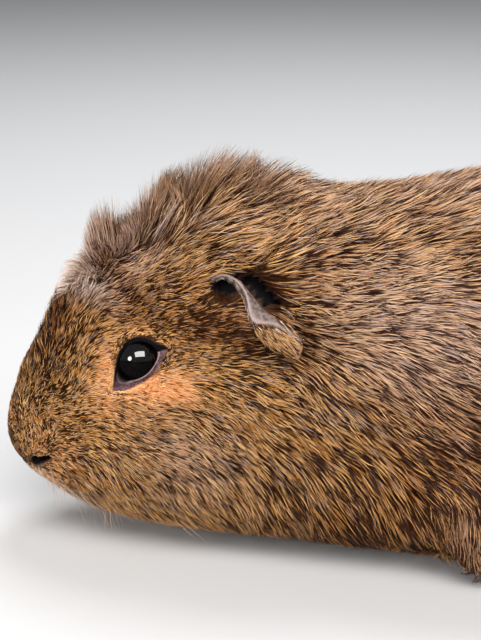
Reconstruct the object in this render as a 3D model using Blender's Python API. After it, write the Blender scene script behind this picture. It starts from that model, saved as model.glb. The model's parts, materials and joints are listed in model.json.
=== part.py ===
"""A crested guinea pig at life size, crouching with its head low.

Metres, +Z up. The nose points along -X, the left side faces -Y, and the animal stands on z = 0.
The solids reach out to the tips of the coat. The trunk of the animal, from nose to rump, is one
loft that is parted by thin cuts. Legs, feet, ears and eyes are solids of their own, and what
they sink into is cut back from them by a thin gap.
"""

import math
from collections import namedtuple

import bmesh
import bpy
from mathutils import Matrix, Vector

MM = 0.001
GAP = 0.32 * MM  # between neighbouring nodes
LEFT, RIGHT = -1, 1  # the side of the animal, as the sign of Y
SIDES = {"left": LEFT, "right": RIGHT}

# ---------------------------------------------------------------- driving sizes
# Cross-sections of head and body, in millimetres from the nose tip and from the floor. Each one
# lies in the plane through its top and bottom points. widest is where the half width is found,
# as a share of the height. A power of 2 gives an ellipse, and more than 2 a squarer side.
Station = namedtuple(
    "Station", "name top_x top_z bottom_x bottom_z half_width widest top_power bottom_power"
)
STATIONS = (
    Station("nose_tip", 0.0, 26.5, 0.0, 26.5, 0.0, 0.50, 2.0, 2.0),
    Station("nose_pad", 0.7, 32.5, 1.6, 21.5, 6.0, 0.48, 2.2, 2.2),
    Station("snout", 2.3, 38.5, 5.0, 17.0, 9.8, 0.44, 2.2, 2.2),
    Station("muzzle", 4.6, 44.5, 9.5, 13.4, 12.8, 0.42, 2.1, 2.3),
    Station("bridge", 7.6, 50.5, 15.0, 10.0, 15.8, 0.42, 2.0, 2.4),
    Station("brow", 10.8, 57.5, 22.0, 6.8, 19.0, 0.42, 2.0, 2.5),
    Station("crest_front", 14.6, 65.5, 29.5, 5.0, 21.8, 0.42, 2.0, 2.7),
    Station("crest", 23.5, 79.5, 37.5, 3.8, 24.2, 0.41, 2.0, 2.9),
    Station("mane_front", 36.5, 89.0, 46.5, 3.0, 27.4, 0.40, 2.0, 3.0),
    Station("mane_peak", 56.0, 95.2, 58.5, 2.4, 31.2, 0.40, 2.0, 3.1),
    Station("nape", 72.0, 91.2, 72.5, 1.8, 34.4, 0.40, 2.1, 3.2),
    Station("shoulder", 93.0, 90.2, 92.5, 1.0, 40.0, 0.40, 2.2, 3.1),
    Station("ribs", 122.0, 93.8, 121.0, -0.6, 46.0, 0.40, 2.2, 2.9),
    Station("loin", 158.0, 96.0, 158.0, -0.9, 50.5, 0.39, 2.2, 2.7),
    Station("hips", 194.0, 90.0, 194.0, -0.6, 49.5, 0.39, 2.1, 2.6),
    Station("rump", 222.0, 74.5, 219.0, 1.4, 41.0, 0.40, 2.0, 2.4),
    Station("seat", 238.0, 57.0, 234.5, 6.5, 29.5, 0.42, 2.0, 2.2),
    Station("tail_base", 245.6, 43.0, 244.2, 16.5, 15.5, 0.46, 2.0, 2.0),
    Station("tail_end", 248.0, 30.0, 248.0, 30.0, 0.0, 0.50, 2.0, 2.0),
)
RINGS_PER_STATION = 2
RING_POINTS = 33
TIP_RING = 0.12  # how far before a tip its first ring lies, as a share of a station

# Where the loft is parted, by the station's name and how far past it, as a share of the way.
PARTS = (
    ("nose", None, ("snout", 0.0)),
    ("head", ("snout", 0.0), ("nape", 0.0)),
    ("neck", ("nape", 0.0), ("shoulder", -0.35)),
    ("trunk", ("shoulder", -0.35), ("hips", 0.75)),
    ("rump", ("hips", 0.75), None),
)

# Soft hollows, and swellings where the depth is negative, in millimetres. off_middle is the
# distance from the middle plane, on both sides alike. lie is the direction that a long one runs
# in, from above the horizontal in degrees, and length is how far it runs.
Hollow = namedtuple("Hollow", "name x off_middle z radius depth lie length")
HOLLOWS = (
    Hollow("crest_bowl", 25.5, 0.0, 80.0, 8.5, 8.5, 0, 0),
    Hollow("orbit", 36.0, 23.5, 51.9, 6.4, 2.2, 0, 0),
    Hollow("nostril", 6.6, 7.6, 21.0, 1.5, 1.6, 20, 2.0),
    Hollow("mouth", 12.0, 8.5, 15.0, 1.6, 1.3, -10, 4.0),
    Hollow("cheek", 43.0, 27.0, 27.0, 16.0, -2.6, 0, 0),
    Hollow("ear_bed", 66.0, 30.0, 64.0, 9.5, 3.2, -35, 4.0),
)

EYE_RADIUS = 5.4
EYE_CENTRE = (35.8, 20.9, 51.9)  # from the nose, half the distance apart, height

# The pinna is one folded sheet. It rises from its root, turns over along its crest and hangs
# down to its hem. Each line is x from the nose, height, and how far it stands off the coat.
EAR_THICKNESS = 1.5 * MM
EAR_ROOT = (
    (52.6, 75.4, 0.1), (57.0, 76.0, 0.1), (61.5, 73.4, 0.1),
    (65.5, 69.4, 0.2), (70.0, 65.4, 0.5), (75.2, 60.6, 1.5),
)
EAR_CREST = (
    (52.6, 75.0, 1.8), (56.4, 76.2, 4.4), (60.8, 72.6, 5.6),
    (62.4, 66.2, 6.0), (68.0, 64.0, 5.8), (74.2, 60.0, 3.6),
)
EAR_HEM = (
    (52.4, 73.0, 1.0), (53.8, 69.6, 2.2), (57.0, 65.6, 3.0),
    (60.6, 61.6, 3.4), (65.8, 57.2, 3.6), (73.0, 57.2, 2.4),
)
EAR_BED = (("brow", 0.0), ("ribs", 0.0))  # the length of the loft that the ears lie on
EAR_ROWS = 12
EAR_COLUMNS = 5

# Legs and feet, in millimetres. A line is x from the nose, distance from the middle plane,
# height and radius.
FORELEG = (
    (132.0, 31.0, 53.0, 15.0), (127.5, 34.2, 34.0, 14.8), (121.5, 34.0, 19.5, 12.6),
    (118.3, 33.0, 11.4, 9.8),
)
THIGH_CENTRE = (199.0, 33.0, 31.0)
THIGH_RADII = (27.5, 19.5, 28.0)
THIGH_LEAN = math.radians(-18)

Foot = namedtuple("Foot", "sole toes toe_length toe_radius spread turn_out claw_length")
FOREFOOT = Foot(
    sole=((138.0, 27.5, 4.4, 3.8), (132.0, 27.5, 2.8, 4.2), (126.0, 27.5, 1.8, 4.4)),
    toes=4, toe_length=6.0, toe_radius=1.5, spread=40, turn_out=5, claw_length=3.4,
)
HINDFOOT = Foot(
    sole=((206.0, 33.0, 4.4, 5.0), (192.0, 34.5, 2.8, 5.0), (179.0, 36.0, 1.8, 5.2)),
    toes=3, toe_length=9.5, toe_radius=2.1, spread=26, turn_out=7, claw_length=5.0,
)
CLAW_RADIUS = 0.75
FOOT_ROOM = 1.1 * MM  # all round a foot, in the coat over it

# ---------------------------------------------------------------- finishes
COAT = ((0.30, 0.19, 0.09, 1.0), 0.75)
COAT_DARK = ((0.20, 0.13, 0.07, 1.0), 0.75)
BARE_SKIN = ((0.26, 0.19, 0.17, 1.0), 0.6)
EYE_GLOSS = ((0.010, 0.007, 0.006, 1.0), 0.08)
FINISHES = {
    "nose": COAT, "head": COAT, "neck": COAT, "trunk": COAT, "rump": COAT,
    "ear": BARE_SKIN, "eye": EYE_GLOSS, "foreleg": COAT, "forefoot": COAT_DARK,
    "hindleg": COAT, "hindfoot": COAT_DARK,
}


# ---------------------------------------------------------------- small tools
def clear_scene():
    for thing in list(bpy.data.objects):
        bpy.data.objects.remove(thing)


def curve_through(keys, t):
    """The value at t of a smooth curve through keys, which stand at t = 0, 1, 2 and so on."""
    last = len(keys) - 1
    i = min(int(t), last - 1)
    f = t - i
    here, there = keys[i], keys[i + 1]
    before = keys[i - 1] if i > 0 else 2 * here - there
    after = keys[i + 2] if i + 2 <= last else 2 * there - here
    slope_here = (there - before) / 2
    slope_there = (after - here) / 2
    return (
        here * (2 * f**3 - 3 * f**2 + 1)
        + slope_here * (f**3 - 2 * f**2 + f)
        + there * (3 * f**2 - 2 * f**3)
        + slope_there * (f**3 - f**2)
    )


def new_object(name, mesh_data):
    mesh = bpy.data.meshes.new(name)
    bmesh.ops.recalc_face_normals(mesh_data, faces=mesh_data.faces)
    mesh_data.to_mesh(mesh)
    mesh_data.free()
    thing = bpy.data.objects.new(name, mesh)
    bpy.context.scene.collection.objects.link(thing)
    return thing


def skin_over(name, rings, start=None, end=None):
    """A closed mesh over rings of equal length. Each end is a flat cap, or a tip if one is given."""
    bm = bmesh.new()
    rows = [[bm.verts.new(p) for p in ring] for ring in rings]
    count = len(rows[0])
    for row, after in zip(rows, rows[1:]):
        for k in range(count):
            n = (k + 1) % count
            bm.faces.new((row[k], row[n], after[n], after[k]))
    for row, tip in ((rows[0], start), (rows[-1], end)):
        if tip is None:
            bm.faces.new(row)
            continue
        point = bm.verts.new(tip)
        for k in range(count):
            bm.faces.new((row[k], row[(k + 1) % count], point))
    return new_object(name, bm)


def largest_body(bm):
    """Removes all but the largest connected piece of a mesh, by its number of vertices."""
    left, found = set(bm.verts), []
    while left:
        group, edge_of_group = set(), [left.pop()]
        while edge_of_group:
            vert = edge_of_group.pop()
            group.add(vert)
            for edge in vert.link_edges:
                other = edge.other_vert(vert)
                if other in left:
                    left.discard(other)
                    edge_of_group.append(other)
        found.append(group)
    keep = max(found, key=len)
    bmesh.ops.delete(bm, geom=[v for v in bm.verts if v not in keep], context="VERTS")


def combine(thing, other, operation):
    """Joins other to thing, or cuts it away, and leaves other in place."""
    step = thing.modifiers.new(operation.lower(), "BOOLEAN")
    step.operation = operation
    step.object = other
    bpy.context.view_layer.update()
    graph = bpy.context.evaluated_depsgraph_get()
    made = bpy.data.meshes.new_from_object(thing.evaluated_get(graph))
    thing.modifiers.clear()
    bm = bmesh.new()
    bm.from_mesh(made)
    bmesh.ops.dissolve_degenerate(bm, edges=bm.edges, dist=0.002 * MM)
    largest_body(bm)
    bm.to_mesh(thing.data)
    bm.free()
    bpy.data.meshes.remove(made)


def remove(thing):
    bpy.data.objects.remove(thing)


def boxes_meet(a, b):
    spans = []
    for thing in (a, b):
        corners = [thing.matrix_world @ Vector(c) for c in thing.bound_box]
        spans.append([(min(c[i] for c in corners), max(c[i] for c in corners)) for i in range(3)])
    return all(lo < top and low < hi for (lo, hi), (low, top) in zip(*spans))


def cut_back(things, cutter):
    """Cuts the things that reach into cutter back from it, and then removes it."""
    bpy.context.view_layer.update()
    for thing in things:
        if boxes_meet(thing, cutter):
            combine(thing, cutter, "DIFFERENCE")
    remove(cutter)


# ---------------------------------------------------------------- the loft, nose to rump
def along(field, t):
    return curve_through([getattr(station, field) for station in STATIONS], t)


def rails(t):
    """The top and bottom points of the cross-section at t, in metres."""
    top = Vector((along("top_x", t), 0, along("top_z", t))) * MM
    bottom = Vector((along("bottom_x", t), 0, along("bottom_z", t))) * MM
    return top, bottom


def hollowed(point, outward):
    """The point moved in or out along outward by the hollows and swellings that reach it."""
    depth = 0.0
    for h in HOLLOWS:
        middle = Vector((h.x, h.off_middle, h.z)) * MM
        lie = Vector((math.cos(math.radians(h.lie)), 0, math.sin(math.radians(h.lie))))
        off = Vector((point.x, abs(point.y), point.z)) - middle
        run = max(-h.length * MM, min(h.length * MM, off.dot(lie)))
        distance = (off - lie * run).length
        depth += h.depth * MM * math.exp(-((distance / (h.radius * MM)) ** 2))
    return point - outward * depth


def cross_section(t, grow):
    top, bottom = rails(t)
    up = top - bottom
    height = up.length
    up = up.normalized()
    widest = along("widest", t)
    half_width = along("half_width", t) * MM
    middle = bottom + up * height * widest
    ring = []
    for k in range(RING_POINTS):
        angle = 2 * math.pi * k / RING_POINTS
        c, s = math.cos(angle), math.sin(angle)
        power = along("top_power" if c > 0 else "bottom_power", t)
        reach = height * ((1 - widest) if c > 0 else widest)
        rise = math.copysign(abs(c) ** (2 / power), c) * reach
        side = math.copysign(abs(s) ** (2 / power), s) * half_width
        point = middle + up * rise + Vector((0, side, 0))
        outward = (point - middle).normalized()
        point = hollowed(point, outward) + outward * grow
        point.z = max(point.z, 0.0)
        ring.append(point)
    return ring


def cut_place(place, after):
    """The t of a thin cut's edge: before it, or after it."""
    name, share = place
    t = [station.name for station in STATIONS].index(name) + share
    step = 0.01
    speeds = [(b - a).length / step for a, b in zip(rails(t), rails(t + step))]
    half_gap = GAP / min(speeds) / 2
    return t + half_gap if after else t - half_gap


def loft_part(name, start, end, grow=0.0):
    """One length of the loft. A cutter for what lies on it has grow, by which it stands proud."""
    low = cut_place(start, True) if start else 0.0
    high = cut_place(end, False) if end else len(STATIONS) - 1.0
    first = math.floor(low * RINGS_PER_STATION) + 1
    last = math.ceil(high * RINGS_PER_STATION) - 1
    between = [i / RINGS_PER_STATION for i in range(first, last + 1)]
    between = [t for t in between if t - low > TIP_RING and high - t > TIP_RING]
    places = ([low] if start else [TIP_RING]) + between + ([high] if end else [high - TIP_RING])
    return skin_over(
        name,
        [cross_section(t, grow) for t in places],
        start=None if start else rails(0.0)[0],
        end=None if end else rails(high)[0],
    )


# ---------------------------------------------------------------- limbs
def tube(name, path, side, points=12, steps=2, cap_rings=2, grow=0.0):
    """A limb with round ends along a path of (x, distance from the middle plane, height, radius)."""
    keys = [Vector((x, side * y, z)) * MM for x, y, z, _ in path]
    radii = [r * MM + grow for *_, r in path]
    count = (len(keys) - 1) * steps
    places = [i / steps for i in range(count + 1)]
    centres = [curve_through(keys, t) for t in places]
    widths = [curve_through(radii, t) for t in places]
    tangents = [
        (centres[min(i + 1, count)] - centres[max(i - 1, 0)]).normalized() for i in range(count + 1)
    ]
    cap_angles = [math.pi / 2 * (k + 1) / (cap_rings + 1) for k in range(cap_rings)]
    rows = list(zip(centres, widths, tangents))
    for angle in cap_angles:
        for i, sign in ((0, -1), (count, 1)):
            off = tangents[i] * sign * widths[i] * math.sin(angle)
            row = (centres[i] + off, widths[i] * math.cos(angle), tangents[i])
            rows.insert(0 if sign < 0 else len(rows), row)
    rings = []
    for centre, radius, tangent in rows:
        across = tangent.cross(Vector((0, 1, 0))).normalized()
        other = tangent.cross(across).normalized()
        rings.append([
            centre + (across * math.cos(a) + other * math.sin(a)) * radius
            for a in (2 * math.pi * k / points for k in range(points))
        ])
    start = centres[0] - tangents[0] * widths[0]
    end = centres[-1] + tangents[-1] * widths[-1]
    return skin_over(name, rings, start, end)


def cut_at_floor(thing):
    """Takes off all that is under z = 0, which leaves a flat sole."""
    bm = bmesh.new()
    bmesh.ops.create_cube(bm, size=1.0)
    bmesh.ops.translate(bm, verts=bm.verts, vec=(0.0, 0.0, -0.5))
    floor = new_object("floor_cutter", bm)
    combine(thing, floor, "DIFFERENCE")
    remove(floor)


def foot(name, shape, side):
    """A sole, its toes side by side, and a claw on each toe, joined into one solid."""
    made = tube(name, shape.sole, side, points=10, steps=1)
    front_x, front_y, _, front_radius = shape.sole[-1]
    radius = shape.toe_radius
    for k in range(shape.toes):
        share = k / (shape.toes - 1) - 0.5
        angle = math.radians(shape.turn_out + shape.spread * share)
        root_y = front_y + share * (front_radius - radius) * 1.6
        reach = front_radius + shape.toe_length * (1 - 0.5 * abs(share))
        # How far along the toe, height and radius: the toe arches up and comes down to its pad.
        toe_line = (
            (0.0, radius * 1.25, radius),
            (reach * 0.6, radius * 1.25, radius * 1.05),
            (reach - radius, radius * 0.9, radius * 0.9),
        )
        claw_line = (
            (reach - radius, radius * 1.1, CLAW_RADIUS),
            (reach + shape.claw_length * 0.45, radius * 1.05, CLAW_RADIUS * 0.8),
            (reach + shape.claw_length, CLAW_RADIUS, CLAW_RADIUS * 0.42),
        )
        for line, points in ((toe_line, 6), (claw_line, 4)):
            path = [
                (front_x - math.cos(angle) * run, root_y + math.sin(angle) * run, height, thick)
                for run, height, thick in line
            ]
            digit = tube("digit", path, side, points=points, steps=1, cap_rings=1)
            combine(made, digit, "UNION")
            remove(digit)
    return made


def foot_room(name, shape, side):
    """A plain round cutter, somewhat larger than the foot, for what lies over it."""
    heel, front = shape.sole[0], shape.sole[-1]
    front_radius = front[3]
    reach = shape.toe_length + shape.claw_length + front_radius
    turn = math.radians(shape.turn_out)
    half_spread = reach * math.sin(math.radians(shape.spread / 2))
    end = (front[0] - reach * math.cos(turn), front[1] + reach * math.sin(turn), front[2])
    path = (heel, front, (*end, front_radius + 0.5 * half_spread))
    return tube(name, path, side, points=10, steps=1, cap_rings=1, grow=FOOT_ROOM)


def thigh(name, side, grow=0.0):
    bm = bmesh.new()
    bmesh.ops.create_uvsphere(bm, u_segments=16, v_segments=10, radius=1.0)
    x, y, z = THIGH_CENTRE
    place = (
        Matrix.Translation(Vector((x, side * y, z)) * MM)
        @ Matrix.Rotation(THIGH_LEAN, 4, "Y")
        @ Matrix.Diagonal([radius * MM + grow for radius in THIGH_RADII] + [1.0])
    )
    bmesh.ops.transform(bm, matrix=place, verts=bm.verts)
    return new_object(name, bm)


def eye(name, side, grow=0.0):
    bm = bmesh.new()
    bmesh.ops.create_uvsphere(bm, u_segments=16, v_segments=10, radius=EYE_RADIUS * MM + grow)
    x, y, z = EYE_CENTRE
    place = Matrix.Translation(Vector((x, side * y, z)) * MM)
    turned = Matrix.Rotation(math.radians(90), 4, "X")
    bmesh.ops.transform(bm, matrix=place @ turned, verts=bm.verts)
    return new_object(name, bm)


def coat_distance(bodies, x, z):
    """How far the coat reaches from the middle plane at x and z, which are in metres."""
    far = 0.1
    hits = [
        body.ray_cast(Vector((x, far, z)), Vector((0, -1, 0)), distance=far) for body in bodies
    ]
    return max(place.y for found, place, *_ in hits if found)


def ear(name, side, bodies):
    """The folded sheet of the pinna, given its thickness."""
    lines = [
        [
            Vector((x * MM, side * (coat_distance(bodies, x * MM, z * MM) + off * MM), z * MM))
            for x, z, off in line
        ]
        for line in (EAR_ROOT, EAR_CREST, EAR_HEM)
    ]
    bm = bmesh.new()
    rows = []
    for i in range(EAR_ROWS + 1):
        t = i / EAR_ROWS * (len(EAR_CREST) - 1)
        root, crest, hem = (curve_through(line, t) for line in lines)
        row = []
        for k in range(EAR_COLUMNS + 1):
            u = k / EAR_COLUMNS * 2
            row.append(bm.verts.new(curve_through([root, crest, hem], u)))
        rows.append(row)
    for row, after in zip(rows, rows[1:]):
        for k in range(EAR_COLUMNS):
            bm.faces.new((row[k], row[k + 1], after[k + 1], after[k]))
    sheet = new_object(name, bm)
    wall = sheet.modifiers.new("wall", "SOLIDIFY")
    wall.thickness = EAR_THICKNESS
    wall.offset = 0.0
    bpy.context.view_layer.update()
    graph = bpy.context.evaluated_depsgraph_get()
    solid = bpy.data.meshes.new_from_object(sheet.evaluated_get(graph))
    sheet.modifiers.clear()
    bm = bmesh.new()
    bm.from_mesh(solid)
    bmesh.ops.recalc_face_normals(bm, faces=bm.faces)
    bm.to_mesh(sheet.data)
    bm.free()
    return sheet


# ---------------------------------------------------------------- assembly
def finish(thing):
    """Gives a node its material and its shading."""
    kind = thing.name.split("_")[0]
    colour, roughness = FINISHES[kind]
    material = bpy.data.materials.new(thing.name)
    material.use_nodes = True
    shader = material.node_tree.nodes["Principled BSDF"]
    shader.inputs["Base Color"].default_value = colour
    shader.inputs["Roughness"].default_value = roughness
    shader.inputs["Metallic"].default_value = 0.0
    material.diffuse_color = colour
    thing.data.materials.clear()
    thing.data.materials.append(material)
    thing.data.shade_smooth()
    thing.data.set_sharp_from_angle(angle=math.radians(50))


def centre_over_floor(nodes):
    """Moves the whole animal so that its box is centred on the Z axis and stands on the floor."""
    corners = [v.co for node in nodes for v in node.data.vertices]
    middle_x = (min(c.x for c in corners) + max(c.x for c in corners)) / 2
    middle_y = (min(c.y for c in corners) + max(c.y for c in corners)) / 2
    shift = Matrix.Translation((-middle_x, -middle_y, 0))
    for node in nodes:
        node.data.transform(shift)


def build():
    clear_scene()
    core = {name: loft_part(name, start, end) for name, start, end in PARTS}
    nodes = list(core.values())
    head, neck, trunk, rump = (core[name] for name in ("head", "neck", "trunk", "rump"))
    for word, side in SIDES.items():
        forefoot = foot(f"forefoot_{word}", FOREFOOT, side)
        hindfoot = foot(f"hindfoot_{word}", HINDFOOT, side)
        foreleg = tube(f"foreleg_{word}", FORELEG, side, points=14, steps=2)
        hindleg = thigh(f"hindleg_{word}", side)
        cut_back([foreleg, trunk], foot_room("cutter", FOREFOOT, side))
        cut_back([hindleg, trunk], foot_room("cutter", HINDFOOT, side))
        cut_back([neck, trunk], tube("cutter", FORELEG, side, points=14, steps=2, grow=GAP))
        cut_back([trunk, rump], thigh("cutter", side, grow=GAP))
        for limb in (forefoot, hindfoot, foreleg, hindleg):
            cut_at_floor(limb)
        eyeball = eye(f"eye_{word}", side)
        pinna = ear(f"ear_{word}", side, (head, neck))
        cut_back([head], eye("cutter", side, grow=GAP))
        cut_back([pinna], loft_part("cutter", EAR_BED[0], EAR_BED[1], grow=GAP))
        nodes += [foreleg, forefoot, hindleg, hindfoot, eyeball, pinna]
    centre_over_floor(nodes)
    animal = bpy.data.objects.new("guinea_pig", None)
    bpy.context.scene.collection.objects.link(animal)
    for node in nodes:
        node.parent = animal
        finish(node)


build()
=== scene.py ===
# %% [markdown]
# # A crested guinea pig, life size
# This lesson dresses the plain solids of a crouching guinea pig with a skin, wet eyes, claws and
# a coat of solid tufts. The solids give every place and size. They are loaded once, measured, and
# deselected, because an operator acts on all that is selected.

# %% Load the frame
import json
import math
from collections import namedtuple

import bpy
import numpy as np
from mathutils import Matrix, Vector
from mathutils.bvhtree import BVHTree
from mathutils.kdtree import KDTree

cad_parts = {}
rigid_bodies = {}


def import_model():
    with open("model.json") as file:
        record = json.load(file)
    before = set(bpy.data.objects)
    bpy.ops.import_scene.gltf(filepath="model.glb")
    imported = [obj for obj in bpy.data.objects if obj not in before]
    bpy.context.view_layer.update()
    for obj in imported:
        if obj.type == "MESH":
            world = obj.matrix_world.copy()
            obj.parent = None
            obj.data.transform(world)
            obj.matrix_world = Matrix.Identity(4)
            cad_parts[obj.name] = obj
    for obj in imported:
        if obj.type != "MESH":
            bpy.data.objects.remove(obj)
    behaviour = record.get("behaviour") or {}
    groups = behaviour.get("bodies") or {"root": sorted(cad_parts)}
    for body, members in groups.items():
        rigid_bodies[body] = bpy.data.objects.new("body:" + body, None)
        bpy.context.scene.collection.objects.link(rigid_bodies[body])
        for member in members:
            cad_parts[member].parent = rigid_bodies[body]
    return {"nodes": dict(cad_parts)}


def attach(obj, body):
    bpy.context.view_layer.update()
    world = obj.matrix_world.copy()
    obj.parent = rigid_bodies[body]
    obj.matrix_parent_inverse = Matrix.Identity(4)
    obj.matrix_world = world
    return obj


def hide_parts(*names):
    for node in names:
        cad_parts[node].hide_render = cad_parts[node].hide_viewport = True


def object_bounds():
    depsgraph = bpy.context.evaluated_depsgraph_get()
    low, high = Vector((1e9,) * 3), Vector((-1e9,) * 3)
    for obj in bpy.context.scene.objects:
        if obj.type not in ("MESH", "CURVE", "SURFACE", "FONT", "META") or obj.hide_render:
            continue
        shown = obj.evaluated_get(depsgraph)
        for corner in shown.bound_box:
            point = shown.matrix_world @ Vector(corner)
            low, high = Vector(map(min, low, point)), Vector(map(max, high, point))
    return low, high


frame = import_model()
cad_low, cad_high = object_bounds()
MM = 0.001
NOSE_X = cad_low.x
SIDES = {"left": -1, "right": 1}
bpy.ops.object.select_all(action="DESELECT")
print("solids:", len(frame["nodes"]), "box in mm:", [round(v / MM) for v in cad_high - cad_low])


# %% [markdown]
# ## The camera
# A museum model is looked at from a little above its own height. The camera stands level with the
# neck, to the animal's left, and looks 18 degrees down. It could be hung on an empty and turned
# round, but a place worked out from one angle and one distance is easier to read.

# %% Camera
def place(x, off, z, side=-1):
    """A point from its distance behind the nose, off the middle plane and above the floor, in mm."""
    return Vector((NOSE_X + x * MM, side * off * MM, z * MM))


ELEVATION = math.radians(18)
DISTANCE = 0.380
SENSOR, LENS = 36, 85.5  # in mm
target = place(59.4, 0, 55)
camera = bpy.data.objects.new("camera", bpy.data.cameras.new("camera"))
bpy.context.scene.collection.objects.link(camera)
camera.location = target + Vector((0, -math.cos(ELEVATION), math.sin(ELEVATION))) * DISTANCE
camera.rotation_euler = (math.radians(90) - ELEVATION, 0, 0)
camera.data.sensor_fit = "VERTICAL"
camera.data.sensor_height = SENSOR
camera.data.lens = LENS
camera.data.clip_start = 0.01
bpy.context.scene.camera = camera
print("camera height in mm:", round(camera.location.z / MM))

# %% [markdown]
# ## The floor and the light
# The model stands in a plain, pale room. A large window over the camera and a small round lamp in
# front of the face give the wet eye its two lights, a third lamp brightens the back, and a pale
# world fills the shadows a little. A sun lamp would be simpler, but area lamps have soft edges,
# which suit fur.

# %% Floor and lamps
Lamp = namedtuple("Lamp", "name place width height watts warmth")
LAMPS = [
    Lamp("window", (0.08, -0.55, 0.70), 0.80, 0.45, 11.0, (1.0, 0.98, 0.96)),
    Lamp("small_window", (-0.62, -0.55, 0.31), 0.29, 0.29, 3.6, (1.0, 0.97, 0.95)),
    Lamp("sky", (0.10, 0.42, 0.95), 0.6, 0.6, 9.0, (0.97, 0.98, 1.0)),
]
FLOOR_SIZE, FLOOR_PAINT = 4.0, (0.56, 0.56, 0.56, 1)
ROOM_COLOUR, ROOM_STRENGTH = (0.80, 0.84, 0.90, 1), 0.20
bpy.ops.mesh.primitive_plane_add(size=FLOOR_SIZE, location=(0, 0, 0))
floor = bpy.context.object
floor.name = "floor"
paint = bpy.data.materials.new("pale_floor")
paint.use_nodes = True
paint.node_tree.nodes["Principled BSDF"].inputs["Base Color"].default_value = FLOOR_PAINT
paint.node_tree.nodes["Principled BSDF"].inputs["Roughness"].default_value = 0.9
floor.data.materials.append(paint)
for lamp in LAMPS:
    bpy.ops.object.light_add(type="AREA", location=lamp.place)
    light = bpy.context.object
    light.name = lamp.name
    light.data.shape = "DISK" if lamp.width == lamp.height else "RECTANGLE"
    light.data.size, light.data.size_y = lamp.width, lamp.height
    light.data.energy = lamp.watts
    light.data.color = lamp.warmth
    light.rotation_euler = (target - light.location).to_track_quat("-Z", "Y").to_euler()
world = bpy.data.worlds.new("pale_room")
bpy.context.scene.world = world
world.use_nodes = True
world.node_tree.nodes["Background"].inputs["Color"].default_value = ROOM_COLOUR
world.node_tree.nodes["Background"].inputs["Strength"].default_value = ROOM_STRENGTH
bpy.ops.object.select_all(action="DESELECT")
bpy.context.scene.view_settings.view_transform = "Standard"
print("lamps:", [lamp.name for lamp in LAMPS])


# %% [markdown]
# ## How the coat lies
# A groomer reads a coat as places on the body, each with its own lie, length and thickness. The
# comb chart says this for one side, and the other side mirrors it. Between the places the values
# blend, so that the coat turns smoothly from one lie into the next.

# %% The comb chart
FIELDS = "name x off z back out up length depth width lift reach rise"
Stroke = namedtuple("Stroke", FIELDS, defaults=(1.0,))
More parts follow.
